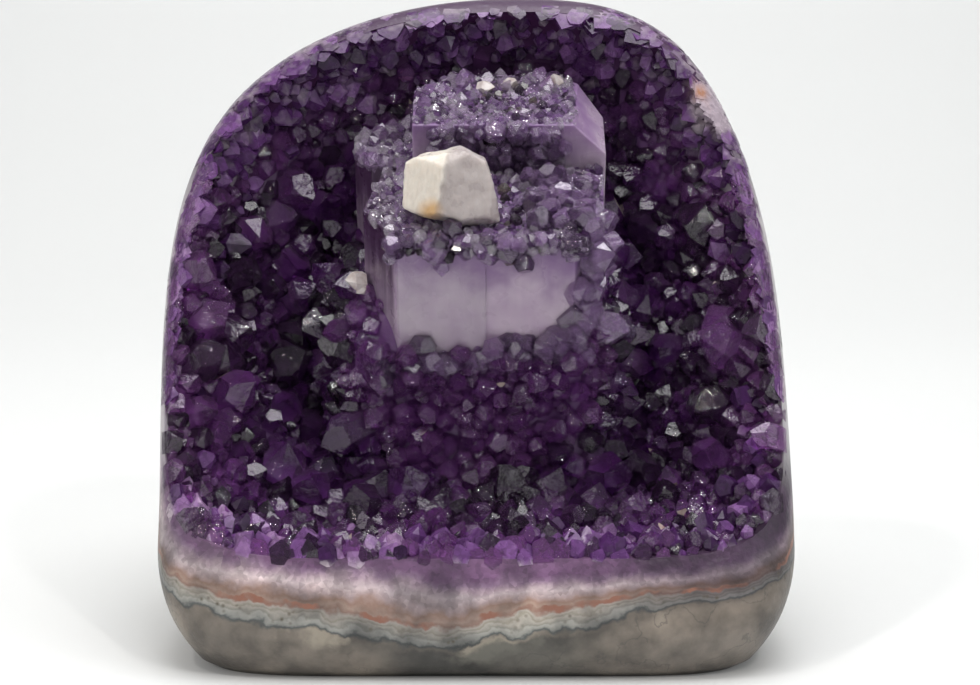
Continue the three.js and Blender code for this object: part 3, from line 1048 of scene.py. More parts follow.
@dataclass(frozen=True)
class DruseFinish:
    """Small crystals of every tone, from clear and lilac to purple and smoky."""

    tones: tuple[tuple[float, Colour], ...] = (
        (0.0, (0.92, 0.86, 0.94)),
        (0.3, (0.74, 0.60, 0.82)),
        (0.52, (0.42, 0.24, 0.54)),
        (0.72, (0.14, 0.06, 0.19)),
        (0.9, (0.04, 0.026, 0.036)),
        (1.0, (0.30, 0.26, 0.22)),
    )
    tip: Colour = (0.7, 0.6, 0.72)

    def material(self, effects: Effects) -> bpy.types.Material:
        """Builds the material."""

        def build(pad: NodePad, shader: bpy.types.Node) -> None:
            """Takes each crystal's tone, paler at its tip."""
            tone = pad.ramp(pad.value_of("tone"), self.tones)
            tip = pad.span(pad.value_of("tip_share"), 0.5, 1.0, 0.0, 0.35)
            clouds = pad.group(effects.mottle, scale=700.0, detail=3.0, low=0.3, high=0.7)
            pad.feed(shader.inputs["Base Color"], pad.mix(tip, tone, self.tip))
            pad.feed(shader.inputs["Roughness"], pad.span(clouds, 0.0, 1.0, 0.0, 0.06))
            raise_surface(pad, shader, clouds, 0.0002, 0.3)

        return stone_shader(
            "druse_quartz", build, Transmission_Weight=0.78, IOR=1.544, Coat_Weight=0.3
        )


@dataclass(frozen=True)
class FrostFinish:
    """A crystal face that is frosted beige instead of glassy."""

    name: str = "frost_and_glint_face"
    colour: Colour = (0.52, 0.44, 0.40)
    stain: Colour = (0.30, 0.20, 0.18)

    def material(self, effects: Effects) -> bpy.types.Material:
        """Builds the material."""

        def build(pad: NodePad, shader: bpy.types.Node) -> None:
            """Mottles the frost."""
            mottle = pad.group(effects.mottle, scale=420.0, detail=5.0, low=0.4, high=0.65)
            pad.feed(shader.inputs["Base Color"], pad.mix(mottle, self.colour, self.stain))
            pad.feed(shader.inputs["Roughness"], pad.span(mottle, 0.0, 1.0, 0.25, 0.5))
            raise_surface(pad, shader, mottle, 0.0002, 0.4)

        return stone_shader(self.name, build)


@dataclass(frozen=True)
class PrismFinish:
    """Milky lilac quartz, purple where it nears its top and edges, streaked along its length."""

    milky: Colour = (0.40, 0.30, 0.42)
    purple: Colour = (0.21, 0.115, 0.265)
    deep: Colour = (0.045, 0.018, 0.05)
    pale: Colour = (0.52, 0.42, 0.52)
    flank_from: float = -20.8
    flank_to: float = -21.8

    def material(self, effects: Effects) -> bpy.types.Material:
        """Builds the material."""

        def build(pad: NodePad, shader: bpy.types.Node) -> None:
            """Zones the colour along the prism and streaks it."""
            clouds = pad.group(effects.mottle, scale=95.0, detail=3.0, low=0.32, high=0.7)
            streaks = pad.group(effects.streaks, scale=420.0, squeeze=0.09)
            body = pad.mix(clouds, self.milky, self.pale)
            haze = pad.group(effects.mottle, scale=140.0, detail=5.0, low=0.3, high=0.7)
            own = pad.value_of("below_top")
            below = pad.maths("MULTIPLY_ADD", haze, -9.0, own)
            streaky = pad.times(streaks, pad.span(below, 2.0, 20.0, 0.45, 0.0))
            body = pad.mix(streaky, body, self.purple)
            zoned = pad.mix(pad.span(below, -3.0, 13.0, 1.0, 0.0), body, self.purple)
            across = pad.reach(ORIGIN, RIGHT)
            flank = pad.span(across, self.flank_to, self.flank_from, 1.0, 0.0)
            lines = pad.maths("MULTIPLY_ADD", streaks, -14.0, own)
            dark = pad.times(flank, pad.span(lines, -6.0, 26.0, 0.97, 0.35))
            coloured = pad.mix(dark, zoned, self.deep)
            pad.feed(shader.inputs["Base Color"], coloured)
            pad.feed(shader.inputs["Roughness"], pad.span(haze, 0.0, 1.0, 0.2, 0.4))
            raise_surface(pad, shader, streaks, 0.0002, 0.07)

        return stone_shader(
            "milky_prism",
            build,
            Subsurface_Weight=0.35,
            Subsurface_Radius=(1.0, 0.7, 1.0),
            Subsurface_Scale=0.004,
            IOR=1.544,
        )


@dataclass(frozen=True)
class CalciteFinish:
    """Cream silk on one side, cloudy and see-through on the other, stained at one corner."""

    cream: Colour = (0.80, 0.74, 0.66)
    cloudy: Colour = (0.42, 0.365, 0.36)
    silk: Colour = (0.62, 0.55, 0.48)
    glass: Colour = (0.60, 0.55, 0.53)
    stain: Colour = (0.62, 0.40, 0.20)

    def material(self, effects: Effects) -> bpy.types.Material:
        """Builds the material."""

        def build(pad: NodePad, shader: bpy.types.Node) -> None:
            """Joins the two halves along a ragged line."""
            silk = pad.group(effects.streaks, scale=900.0, squeeze=0.12)
            clouds = pad.group(effects.mottle, scale=240.0, detail=5.0, low=0.35, high=0.68)
            cream = pad.mix(pad.times(silk, 0.5), self.cream, self.silk)
            glassy = pad.mix(pad.times(clouds, 0.6), self.cloudy, self.glass)
            halves = pad.mix(pad.value_of("cream_side"), glassy, cream)
            stained = pad.mix(pad.value_of("stain"), halves, self.stain)
            pad.feed(shader.inputs["Base Color"], stained)
            pad.feed(shader.inputs["Roughness"], pad.span(clouds, 0.0, 1.0, 0.25, 0.45))
            raise_surface(pad, shader, pad.maths("ADD", silk, clouds), 0.0003, 0.4)

        return stone_shader(
            "milky_calcite",
            build,
            Subsurface_Weight=0.5,
            Subsurface_Radius=(1.0, 0.85, 0.75),
            Subsurface_Scale=0.003,
            IOR=1.5,
        )


@dataclass(frozen=True)
class Sprout:
    """One crystal to be: where it grows, which way, how big and how it looks."""

    foot: np.ndarray
    axis: np.ndarray
    radius: float
    spin: float
    tone: float
    habit: Habit = Habit.POINT
    clarity: Clarity = Clarity.CLEAR
    rim_share: float = 0.0
    # One face frosted beige, partly standing in as a painted glint.
    frost_glint_face: bool = False
    recess: float = 0.05


@dataclass
class CrystalGarden:
    """Grows quartz crystals from a stock of unit shapes."""

    seed: int
    shapes_per_habit: int = 28
    face_slope: float = math.radians(51.8)
    root_depth: float = 0.8
    roll: np.random.Generator = field(init=False)
    stock: dict[Habit, list[list[Face]]] = field(init=False)

    def __post_init__(self) -> None:
        """Makes the stock of shapes."""
        self.roll = np.random.default_rng(self.seed)
        self.stock = {
            habit: [self.shape(habit) for _ in range(self.shapes_per_habit)] for habit in Habit
        }

    def shape(self, habit: Habit) -> list[Face]:
        """Cuts one six-sided crystal of radius 1 with unequal end faces."""
        low, high = habit.value
        shaft = self.roll.uniform(low, high)
        peak = shaft + math.tan(self.face_slope)
        faces = block((-2.0, -2.0, -self.root_depth), (2.0, 2.0, peak + 2))
        for side in range(6):
            turn = math.radians(60 * side + self.roll.uniform(-2.5, 2.5))
            out = (math.cos(turn), math.sin(turn))
            faces = cut_solid(faces, (*out, 0.0), self.roll.uniform(0.78, 1.06))
            extra = self.roll.uniform(-0.1, 0.1) + (side % 2) * self.roll.uniform(0.02, 0.5)
            steep = self.face_slope + self.roll.uniform(-0.03, 0.03)
            sin, cos = math.sin(steep), math.cos(steep)
            faces = cut_solid(faces, (out[0] * sin, out[1] * sin, cos), (peak + extra) * cos)
        return faces

    def grow(self, sprout: Sprout) -> tuple[list[Face], Callable[[Point], float]]:
        """Places a crystal.

        Args:
            sprout: The crystal to be.

        Returns:
            Its faces, and how far up the crystal a point is, from 0 to 1.
        """
        shapes = self.stock[sprout.habit]
        faces = shapes[int(self.roll.integers(len(shapes)))]
        axis = Vector(sprout.axis)
        turn = axis.to_track_quat("Z", "Y").to_matrix() @ Matrix.Rotation(sprout.spin, 3, "Z")
        grid = np.array(turn) * sprout.radius
        foot = sprout.foot
        placed = [[tuple((grid @ p + foot).tolist()) for p in face] for face in faces]
        top = max(p[2] for face in faces for p in face) * sprout.radius
        way = np.array(sprout.axis)
        return placed, lambda p: float(np.clip((np.array(p) - foot) @ way / top, 0, 1))

    def tilted(self, direction: np.ndarray, most: float) -> np.ndarray:
        """A direction knocked off true by up to about the given share."""
        return unit(direction + self.roll.uniform(-most, most, 3))

    def habit(self, stub_share: float) -> Habit:
        """Draws whether a crystal is a stub or a point."""
        return Habit.STUB if self.roll.uniform() < stub_share else Habit.POINT

    def recess(self) -> float:
        """How far under the polish a cut crystal stays: mostly flush, now and then deeper."""
        return 0.02 + self.roll.uniform(0, 1.1) ** 4


@dataclass
class Crowding:
    """Remembers where crystals stand, so that none is set on top of another."""

    cell: float = 9.0
    spacing: float = 0.62
    cells: dict[tuple[int, int, int], list[tuple[np.ndarray, float]]] = field(
        default_factory=dict
    )

    def take(self, point: np.ndarray, radius: float) -> bool:
        """Claims a place, or says that it is taken."""
        key = tuple(int(v // self.cell) for v in point)
        for dx in (-1, 0, 1):
            for dy in (-1, 0, 1):
                for dz in (-1, 0, 1):
                    near = self.cells.get((key[0] + dx, key[1] + dy, key[2] + dz), ())
                    for other, size in near:
                        gap = point - other
                        if gap @ gap < (self.spacing * (size + radius)) ** 2:
                            return False
        self.cells.setdefault(key, []).append((point, radius))
        return True


@dataclass
class RockShell:
    """The polished rock with its hollow."""

    form: GeodeForm
    finish: RockFinish = RockFinish()
    sides: int = 260
    rings: int = 120
    wall_sides: int = 150
    wall_rings: int = 44
    natural_from_y: float = 22.0
    natural_to_y: float = 40.0
    polish_reach: float = 11.0
    polish_fade: float = 9.0
    lump: float = 1.1
    band_dip: float = 0.2
    right_thinning: float = 0.35
    foot_rounding: float = 1.8
    band_dip_width: float = 30.0

    def build(self, effects: Effects) -> bpy.types.Object:
        """Makes the rock and dresses it."""
        rock = self.outside()
        hollow = self.hollow_fill()
        cut = rock.modifiers.new("hollow", "BOOLEAN")
        cut.object = hollow
        cut.operation = "DIFFERENCE"
        cut.solver = "EXACT"
        settle(rock)
        bpy.data.objects.remove(hollow)
        self.store_layers(rock)
        rock.data.shade_smooth()
        rock.data.set_sharp_from_angle(angle=math.radians(38))
        rock.data.materials.clear()
        rock.data.materials.append(self.finish.material(effects))
        return rock

    def outside(self) -> bpy.types.Object:
        """The solid outside, lumpy at the back."""
        share = np.linspace(0, 1, self.rings, endpoint=False)
        heights = self.form.height * (1 - (1 - share) ** 1.5)
        rings = [self.form.ring(z, self.sides) for z in heights]
        top = self.form.slices(np.array([self.form.height]))
        apex = np.array([[top.centre[0], top.waist[0], self.form.height]])
        points = np.concatenate([np.zeros((1, 3)), *rings, apex])
        moved = slice(1, len(points) - 1)
        some = points[moved]
        rough = self.natural_share(some)
        cut = self.form.slices(some[:, 2])
        inward = np.stack([cut.centre - some[:, 0], cut.waist - some[:, 1], np.zeros(len(some))], 1)
        lumps = 0.5 + 0.32 * wobble(some, 11.0, 3.0) + 0.18 * wobble(some, 3.6, 8.0)
        soft = 0.22 + 0.08 * wobble(some, 38.0, 5.0)
        under = np.clip(1 - some[:, 2] / self.foot_rounding, 0, 1) ** 2 * self.foot_rounding
        inset = soft + under + self.lump * rough * lumps
        points[moved] = some + unit(inward) * inset[:, None]
        return mesh_object(
            "banded_rock", (points * MM).tolist(), skin_faces(self.rings, self.sides)
        )

    def hollow_fill(self) -> bpy.types.Object:
        """All the space in front of the hollow's wall."""
        turns = 2 * np.pi * np.arange(self.wall_sides) / self.wall_sides
        shares = 1 - (1 - np.linspace(0, 1, self.wall_rings + 1)[1:]) ** 1.3
        rings = [self.form.wall(turns, np.full_like(turns, share)) for share in shares]
        ahead = self.form.from_face(0.0, 0.0, -80.0) - self.form.from_face(0.0, 0.0, 0.0)
        centre = self.form.wall(np.zeros(1), np.zeros(1))
        points = np.concatenate([centre, *rings, rings[-1] + ahead, centre + ahead])
        return mesh_object(
            "hollow", (points * MM).tolist(), skin_faces(len(rings) + 1, self.wall_sides)
        )

    def natural_share(self, points: np.ndarray) -> np.ndarray:
        """How natural, not polished, the skin is at each point."""
        edge = points[:, 1] + 5 * wobble(points, 24.0, 1.0)
        share = (edge - self.natural_from_y) / (self.natural_to_y - self.natural_from_y)
        _, _, into = self.form.to_face(points)
        behind = np.clip((into - self.polish_reach) / self.polish_fade, 0, 1)
        return np.clip(share, 0, 1) * np.clip(points[:, 2] / 6, 0, 1) * behind

    def store_layers(self, rock: bpy.types.Object) -> None:
        """Stores what the finish needs to know at each point."""
        points = mesh_points(rock)
        depth = self.form.layer_depth(points)
        low_front = np.clip((self.form.lip_z + 8 - points[:, 2]) / 20, 0, 1)
        dip = np.exp(-(((points[:, 0] - 4) / self.band_dip_width) ** 2)) * low_front
        right = self.right_thinning * np.clip((points[:, 0] - 5) / 55, 0, 1) * low_front
        keep_values(rock, "layer_depth", depth * (1 + right) / (1 + self.band_dip * dip))
        in_wall = (self.form.level(points) < -0.012) & (depth < 0.6)
        keep_values(rock, "natural_skin", self.natural_share(points) * ~in_wall)
        share = self.form.rim_share(points)
        keep_values(rock, "in_hollow", in_wall * np.clip((0.97 - share) / 0.17, 0, 1))


@dataclass(frozen=True)
class RimPlace:
    """How the crystals that the polished edge cuts lie along one part of the rim."""

    reach: float
    sunk: float
    largest: float
    tones: tuple[float, float]
    milky_share: float
    rim_share: float


@dataclass
class AmethystCrust:
    """Every crystal that lines the hollow."""

    form: GeodeForm
    frame: PrismFrame
    finish: CrystalFinish = CrystalFinish(
        name="amethyst",
        root=(0.52, 0.25, 0.62),
        tip=(0.24, 0.05, 0.36),
        # Bright rim colour: partly colour zoning, partly painted light.
        rim=(0.84, 0.33, 0.96),
        dark_tone=(0.05, 0.032, 0.055),
        absorption=(0.72, 0.28, 0.82),
        absorption_density=75.0,
    )
    # Frosted beige faces of the crust, partly painted glints.
    frost: FrostFinish = FrostFinish()
    milky: MilkyFinish = MilkyFinish()
    passes: tuple[tuple[int, float, float], ...] = (
        (150, 4.3, 6.2),
        (3400, 2.6, 4.1),
        (15000, 1.5, 2.6),
    )
    outermost: float = 0.995
    rim_from: float = 0.6
    rim_power: float = 1.3
    # Share of crust crystals with one frosted beige face; these also stand in as painted glints.
    frost_and_glint_share: float = 0.045
    skirt_drop: float = 6.0
    skirt_rim_share: float = 0.6
    skirt_tone: float = 0.6
    stub_shares: tuple[float, float] = (0.3, 0.75)
    crown_sunk: float = 0.2
    crown_tones: tuple[float, float] = (0.16, 0.9)
    skirt_radius: float = 34.0
    skirt_largest: float = 3.7
    rim_count: int = 900
    rim_turn: float = 0.32
    rim_inside: float = 2.6
    rim_wall_share: float = 0.98
    rim_smallest: float = 1.4
    rim_top: RimPlace = RimPlace(
        reach=9.0, sunk=1.6, largest=4.0, tones=(0.22, 0.9), milky_share=1.0, rim_share=0.7
    )
    rim_sides: RimPlace = RimPlace(
        reach=0.2, sunk=0.6, largest=3.4, tones=(0.0, 0.7), milky_share=0.5, rim_share=1.0
    )
    rim_top_from: float = 0.45
    crown_share: float = 0.8
    crown_largest: float = 3.9
    crown_milky_from: float = 0.92
    white_patch: tuple[float, float, float] = (64.0, 141.0, 5.5)
    orange_stain: tuple[float, float, float] = (60.5, 144.5, 1.5)
    milky_from: float = 0.86
    milky_near_rim: float = 0.22
    sill_sizes: tuple[tuple[int, float, float], ...] = ((74, 2.3, 3.7), (190, 1.1, 2.2))
    sill_turns: tuple[float, float] = (math.radians(214), math.radians(326))
    sill_shares: tuple[float, float] = (0.905, 0.985)
    sill_sunk: Point = (0.0, 0.0, 1.2)
    sill_way: Point = (0.0, -0.15, 1.0)
    sill_largest: float = 3.3
    prism_sides: tuple[float, float] = (-25.0, 26.0)
    prism_depths: tuple[float, float] = (-3.5, 32.0)
    prism_bare_above: float = -35.0

    def sprouts(self, garden: CrystalGarden) -> list[Sprout]:
        """Sows crystals over the wall, the biggest first."""
        crowd = Crowding()
        grown: list[Sprout] = []
        for tries, smallest, largest in self.passes:
            turns = garden.roll.uniform(0, 2 * np.pi, tries)
            shares = np.sqrt(garden.roll.uniform(0, 1, tries)) * self.outermost
            points = self.form.wall(turns, shares)
            normals = self.form.wall_normals(turns, shares)
            across, up, _ = self.form.to_face(points)
            from_skirt = up - self.form.mound_up + self.skirt_drop
            in_skirt = np.hypot(across, from_skirt) < self.skirt_radius
            under_crown = (np.sin(turns) > self.rim_top_from) & (shares > self.crown_share)
            by_sill = (np.sin(turns) < -self.rim_top_from) & (shares > self.crown_share)
            limits = np.full(tries, largest)
            for region, limit in (
                (in_skirt, self.skirt_largest),
                (under_crown, self.crown_largest),
                (by_sill, self.sill_largest),
            ):
                limits = np.where(region, np.minimum(limits, limit), limits)
            for i in range(tries):
                radius = garden.roll.uniform(smallest, largest)
                if radius > limits[i] or self.in_prism(points[i]):
                    continue
                if not crowd.take(points[i], radius):
                    continue
                outer = np.clip((shares[i] - self.rim_from) / (1 - self.rim_from), 0, 1)
                rim_share = outer**self.rim_power
                milky = self.milky_near_rim if shares[i] > self.milky_from else 0.0
                if under_crown[i] and shares[i] > self.crown_milky_from:
                    milky = 1.0
                lift = normals[i] * radius * garden.roll.uniform(-0.05, 0.5)
                tone = garden.roll.uniform(0, 1) * (self.skirt_tone if in_skirt[i] else 1.0)
                if under_crown[i]:
                    lift = -self.crown_sunk * radius * normals[i]
                    darkest, palest = self.crown_tones
                    tone = darkest + (palest - darkest) * tone
                grown.append(
                    Sprout(
                        foot=points[i] + lift,
                        axis=garden.tilted(normals[i], 0.42),
                        radius=radius,
                        spin=garden.roll.uniform(0, math.pi),
                        tone=tone,
                        habit=garden.habit(self.stub_shares[int(in_skirt[i])]),
                        rim_share=float(max(rim_share, self.skirt_rim_share * in_skirt[i])),
                        clarity=self.clarity(garden, milky),
                        frost_glint_face=garden.roll.uniform() < self.frost_and_glint_share,
                        recess=garden.recess(),
                    )
                )
        return grown

    def in_prism(self, point: np.ndarray) -> bool:
        """Whether a crystal's foot lies inside the part of the front prism that shows."""
        across, back, along = self.frame.locate(point)
        left, right = self.prism_sides
        front, rear = self.prism_depths
        return left < across < right and front < back < rear and along > self.prism_bare_above

    def rim_sprouts(self, garden: CrystalGarden) -> list[Sprout]:
        """Sows the crystals that the polished edge cuts through."""
        count = self.rim_count
        turns = garden.roll.uniform(-self.rim_turn, np.pi + self.rim_turn, count)
        radius, into = self.form.rim(turns)
        at_top = np.sin(turns) > self.rim_top_from
        reach = np.where(at_top, self.rim_top.reach, self.rim_sides.reach)
        past = garden.roll.uniform(-self.rim_inside, reach, count)
        across = (radius + past) * np.cos(turns)
        up = self.form.face_centre + (radius + past) * np.sin(turns)
        feet = self.form.nearest_skin(self.form.from_face(across, up, into))[0]
        normals = self.form.wall_normals(turns, np.full(count, self.rim_wall_share))
        grown = []
        for foot, normal, top in zip(feet, normals, at_top):
            lie = self.rim_top if top else self.rim_sides
            grown.append(
                Sprout(
                    foot=foot - normal * lie.sunk,
                    axis=garden.tilted(normal, 0.4),
                    radius=garden.roll.uniform(self.rim_smallest, lie.largest),
                    spin=garden.roll.uniform(0, math.pi),
                    tone=garden.roll.uniform(*lie.tones),
                    clarity=self.clarity(garden, lie.milky_share),
                    rim_share=lie.rim_share,
                    recess=garden.recess(),
                )
            )
        return grown

    def clarity(self, garden: CrystalGarden, milky_share: float) -> Clarity:
        """Draws whether a crystal is milky or clear."""
        return Clarity.MILKY if garden.roll.uniform() < milky_share else Clarity.CLEAR

    def sill_sprouts(self, garden: CrystalGarden) -> list[Sprout]:
        """Sows the pale peaks that stand up along the hollow's front edge."""
        grown = []
        for count, smallest, largest in self.sill_sizes:
            turns = np.linspace(*self.sill_turns, count) + garden.roll.uniform(-0.03, 0.03, count)
            feet = self.form.wall(turns, garden.roll.uniform(*self.sill_shares, count))
            grown += [
                Sprout(
                    foot=foot - np.array(self.sill_sunk),
                    axis=garden.tilted(np.array(self.sill_way), 0.35),
                    radius=garden.roll.uniform(smallest, largest),
                    spin=garden.roll.uniform(0, math.pi),
                    tone=garden.roll.uniform(0, 0.45) + 0.4 * float(np.clip(foot[0] / 60, -0.3, 1)),
                    habit=Habit.POINT if garden.roll.uniform() < 0.5 else Habit.STUB,
                    clarity=Clarity.MILKY,
                    recess=garden.roll.uniform(0.02, 0.5),
                )
                for foot in feet
            ]
        return grown

    def build(self, effects: Effects) -> bpy.types.Object:
        """Grows the crust and dresses it."""
        garden = CrystalGarden(seed=21)
        bank = SolidBank()
        sprouts = self.sprouts(garden) + self.rim_sprouts(garden) + self.sill_sprouts(garden)
        for sprout in sprouts:
            faces, height = garden.grow(sprout)
            trimmed = self.trimmed(faces, sprout.recess)
            plant(bank, trimmed, height, sprout, garden)
        piece = bank.piece(
            "amethyst_crystals",
            [
                self.finish.material(effects),
                self.frost.material(effects),
                self.milky.material(effects),
            ],
        )
        points = mesh_points(piece)
        depth = self.form.layer_depth(points) + 6 * self.spot(points, self.white_patch)
        keep_values(piece, "layer_depth", depth)
        keep_values(piece, "stain", self.spot(points, self.orange_stain))
        return piece

    def spot(self, points: np.ndarray, place: tuple[float, float, float]) -> np.ndarray:
        """A round spot seen from the front: its place across and up, and its size."""
        x, z, size = place
        ragged = 0.35 * wobble(points, 4.0, 12.0)
        away = np.hypot(points[:, 0] - x, points[:, 2] - z) / size
        return np.exp(-((away + ragged) ** 2))

    def trimmed(self, faces: list[Face], depth: float) -> list[Face]:
        """Cuts a crystal off at a depth under the rock's true outside."""
        for _ in range(12):
            corners = np.array([p for face in faces for p in face])
            if not len(corners):
                return []
            levels = self.form.level(corners)
            if levels.max() <= 1e-4:
                return faces
            worst = corners[[int(levels.argmax())]]
            skin, normal = self.form.nearest_skin(worst)
            offset = float(skin[0] @ normal[0])
            faces = cut_solid(faces, tuple(normal[0].tolist()), offset - depth)
        return []


def plant(
    bank: SolidBank,
    faces: list[Face],
    height: Callable[[Point], float],
    sprout: Sprout,
    garden: CrystalGarden,
) -> None:
    """Puts a grown crystal in the bank, with the values its finish reads."""
    # A frosted face, partly a painted glint, takes the next material.
    odd = int(garden.roll.integers(len(faces))) if sprout.frost_glint_face and faces else None
    bank.add(
        faces,
        {
            "tip_share": height,
            "rim_share": lambda _: sprout.rim_share,
            "tone": lambda _: sprout.tone,
        },
        finish=sprout.clarity.value,
        odd_face=odd,
    )


@dataclass(frozen=True)
class Prism:
    """One prism: its cross-section's corners, and the height and slope of its top."""

    corners: tuple[tuple[float, float], ...]
    top: float
    slope: float

    @property
    def middle(self) -> np.ndarray:
        """The middle of the cross-section."""
        return np.mean(self.corners, axis=0)

    def top_at(self, back: float) -> float:
        """The height of the top at a distance back."""
        return self.top + self.slope * (back - float(self.middle[1]))


FRONT_PRISM = Prism(
    corners=((-20.5, 0), (25.5, 0), (33, 11), (34, 38), (-24, 38), (-29.5, 15)),
    top=0.0,
    slope=0.0,
)
REAR_PRISM = Prism(
    corners=((-17, 36), (34.5, 36), (34.5, 56), (22, 68), (-6, 68), (-17, 58)),
    top=12.0,
    slope=-0.07,
)
LEFT_PRISM = Prism(
    corners=((-33, 44), (-28, 35), (-14, 35), (-14, 60), (-24, 62), (-32, 54)),
    top=0.0,
    slope=-0.1,
)
PRISMS = (FRONT_PRISM, REAR_PRISM, LEFT_PRISM)


@dataclass
class PrismStand:
    """The pale prisms, with the small crystals on their tops and flanks."""

    frame: PrismFrame
    finish: PrismFinish = PrismFinish()
    druse: DruseFinish = DruseFinish()
    frost: FrostFinish = FrostFinish(
        name="white_face", colour=(0.62, 0.57, 0.56), stain=(0.42, 0.34, 0.32)
    )
    amethyst: CrystalFinish = CrystalFinish(
        name="druse_amethyst",
        root=(0.80, 0.60, 0.90),
        tip=(0.58, 0.34, 0.72),
        rim=(0.80, 0.50, 0.88),
        dark_tone=(0.09, 0.04, 0.12),
        transmission=0.8,
        coat=0.6,
    )
    purple_from: float = 1.9
    frosted_places: tuple[tuple[Point, Point, float], ...] = (
        ((2.5, 58, 12.2), (0.9, -0.5, 0.5), 2.1),
        ((9.5, 60, 12.6), (0.5, -0.5, 0.7), 2.0),
        ((21.5, 62, 11.3), (-0.2, -0.2, 1.0), 2.4),
        ((-31.5, 12, -20), (-1.0, -0.4, 0.3), 2.5),
        ((-30, 11, -22), (-0.8, -0.6, -0.3), 1.7),
    )
    flank_places: tuple[tuple[Point, Point, float, float], ...] = (
        ((25, 4, -25), (0.5, -0.7, 0.3), 5.4, 0.72),
        ((22, 1, -30), (0.3, -0.9, 0.4), 4.0, 0.6),
        ((31, 8, -32), (0.95, -0.35, 0.1), 5.0, 0.35),
        ((26, 2, -17), (0.4, -0.6, 0.7), 3.8, 0.3),
        ((31, 9, -9), (0.7, -0.5, 0.5), 3.4, 0.5),
        ((32, 14, -4), (0.7, -0.3, 0.7), 3.2, 0.55),
        ((33, 20, -14), (0.9, -0.3, 0.3), 3.4, 0.45),
        ((32, 22, -22), (1.0, -0.3, 0.2), 3.6, 0.15),
        ((-10, 0, -3), (-0.1, -1.0, -0.5), 2.6, 0.45),
        ((-9, 0, -7), (0.1, -1.0, -0.6), 2.0, 0.3),
        ((8, 0, -3), (0.2, -1.0, -0.2), 3.0, 0.8),
        ((12, 0, -7), (0.2, -1.0, 0.1), 2.7, 0.9),
        ((3, 0, -4), (0.3, -1.0, -0.4), 2.4, 0.1),
        ((-6, 3, 1), (0.0, -0.6, 0.9), 2.5, 1.0),
        ((-14, -0.5, -32), (-0.1, -1.0, 0.3), 3.4, 1.0),
        ((-21, 0, -1), (-0.2, -1.0, 0.4), 2.6, 0.1),
        ((-29, 10, -29), (-0.8, -0.5, 0.2), 3.6, 0.4),
        ((-27, 5, -34), (-0.6, -0.7, 0.3), 3.4, 0.6),
    )
    roots: tuple[float, float, float] = (62.0, 45.0, 45.0)
    top_passes: tuple[tuple[int, float, float], ...] = (
        (14, 2.0, 2.9),
        (260, 1.2, 1.9),
        (6000, 0.55, 1.15),
    )
    top_outermost: float = 0.98
    top_sunk: float = 0.3
    top_splay: float = 0.012
    top_tone: float = 0.74
    smoky_tone: float = 0.55
    smoky_across: float = 8.0
    smoky_reach: tuple[float, float] = (13.0, 12.0)
    collar_count: int = 74
    step_count: int = 60
    shelf_count: int = 46
    drip_count: int = 95
    guard_count: int = 30
    clear_from: float = 26.0
    ledge: float = 0.4
    rear_haze_rise: float = 7.0
    edge_width: float = 0.35
    bevel_place: Point = (26.5, 60.0, 12.5)
    bevel_slope: float = math.radians(45)

    def shaft(self, prism: Prism, root: float) -> list[Face]:
        """The prism's faces as across, back and along, down to a root."""
        reach = 90.0
        faces = block((-reach, -reach, -root), (reach, reach, 40))
        middle = prism.middle
        for (x0, y0), (x1, y1) in zip(prism.corners, prism.corners[1:] + prism.corners[:1]):
            out = np.array([y1 - y0, x0 - x1])
            out = out / np.linalg.norm(out)
            if out @ (np.array([x0, y0]) - middle) < 0:
                out = -out
            faces = cut_solid(faces, (out[0], out[1], 0.0), float(out @ (x0, y0)))
        up = unit(np.array([0.0, -prism.slope, 1.0]))
        offset = float(up @ (0.0, float(middle[1]), prism.top))
        return cut_solid(faces, tuple(up.tolist()), offset)

    def in_part(self, faces: list[Face]) -> list[Face]:
        """Turns faces from the prisms' frame into the part's."""
        return [[tuple(self.frame.place(*p).tolist()) for p in face] for face in faces]

    def build_shafts(self, effects: Effects) -> bpy.types.Object:
        """Makes the prisms themselves."""
        bank = SolidBank()
        for prism, root in zip(PRISMS, self.roots):
            faces = self.shaft(prism, root)
            if prism is REAR_PRISM:
                sin, cos = math.sin(self.bevel_slope), math.cos(self.bevel_slope)
                place = np.array(self.bevel_place)
                faces = cut_solid(faces, (cos, 0.0, sin), float(np.array([cos, 0, sin]) @ place))
            bank.add(self.in_part(faces), {"below_top": self.below(prism)})
        ledge = block((-20.3, -self.ledge, -60.0), (2.6, 1.0, -2.5))
        bank.add(self.in_part(ledge), {"below_top": self.below(FRONT_PRISM)})
        piece = bank.piece("pale_prisms_dressed", [self.finish.material(effects)])
        edge = piece.modifiers.new("edges", "BEVEL")
        edge.width = self.edge_width * MM
        edge.segments = 2
        edge.limit_method = "ANGLE"
        settle(piece)
        return piece

    def below(self, prism: Prism) -> Callable[[Point], float]:
        """How far a point of the part lies below a prism's top, as a function."""
        raised = prism.top + (self.rear_haze_rise if prism is REAR_PRISM else 0.0)
        peak = self.frame.place(0.0, float(prism.middle[1]), raised)
        return lambda p: float((peak - np.array(p)) @ self.frame.axis)

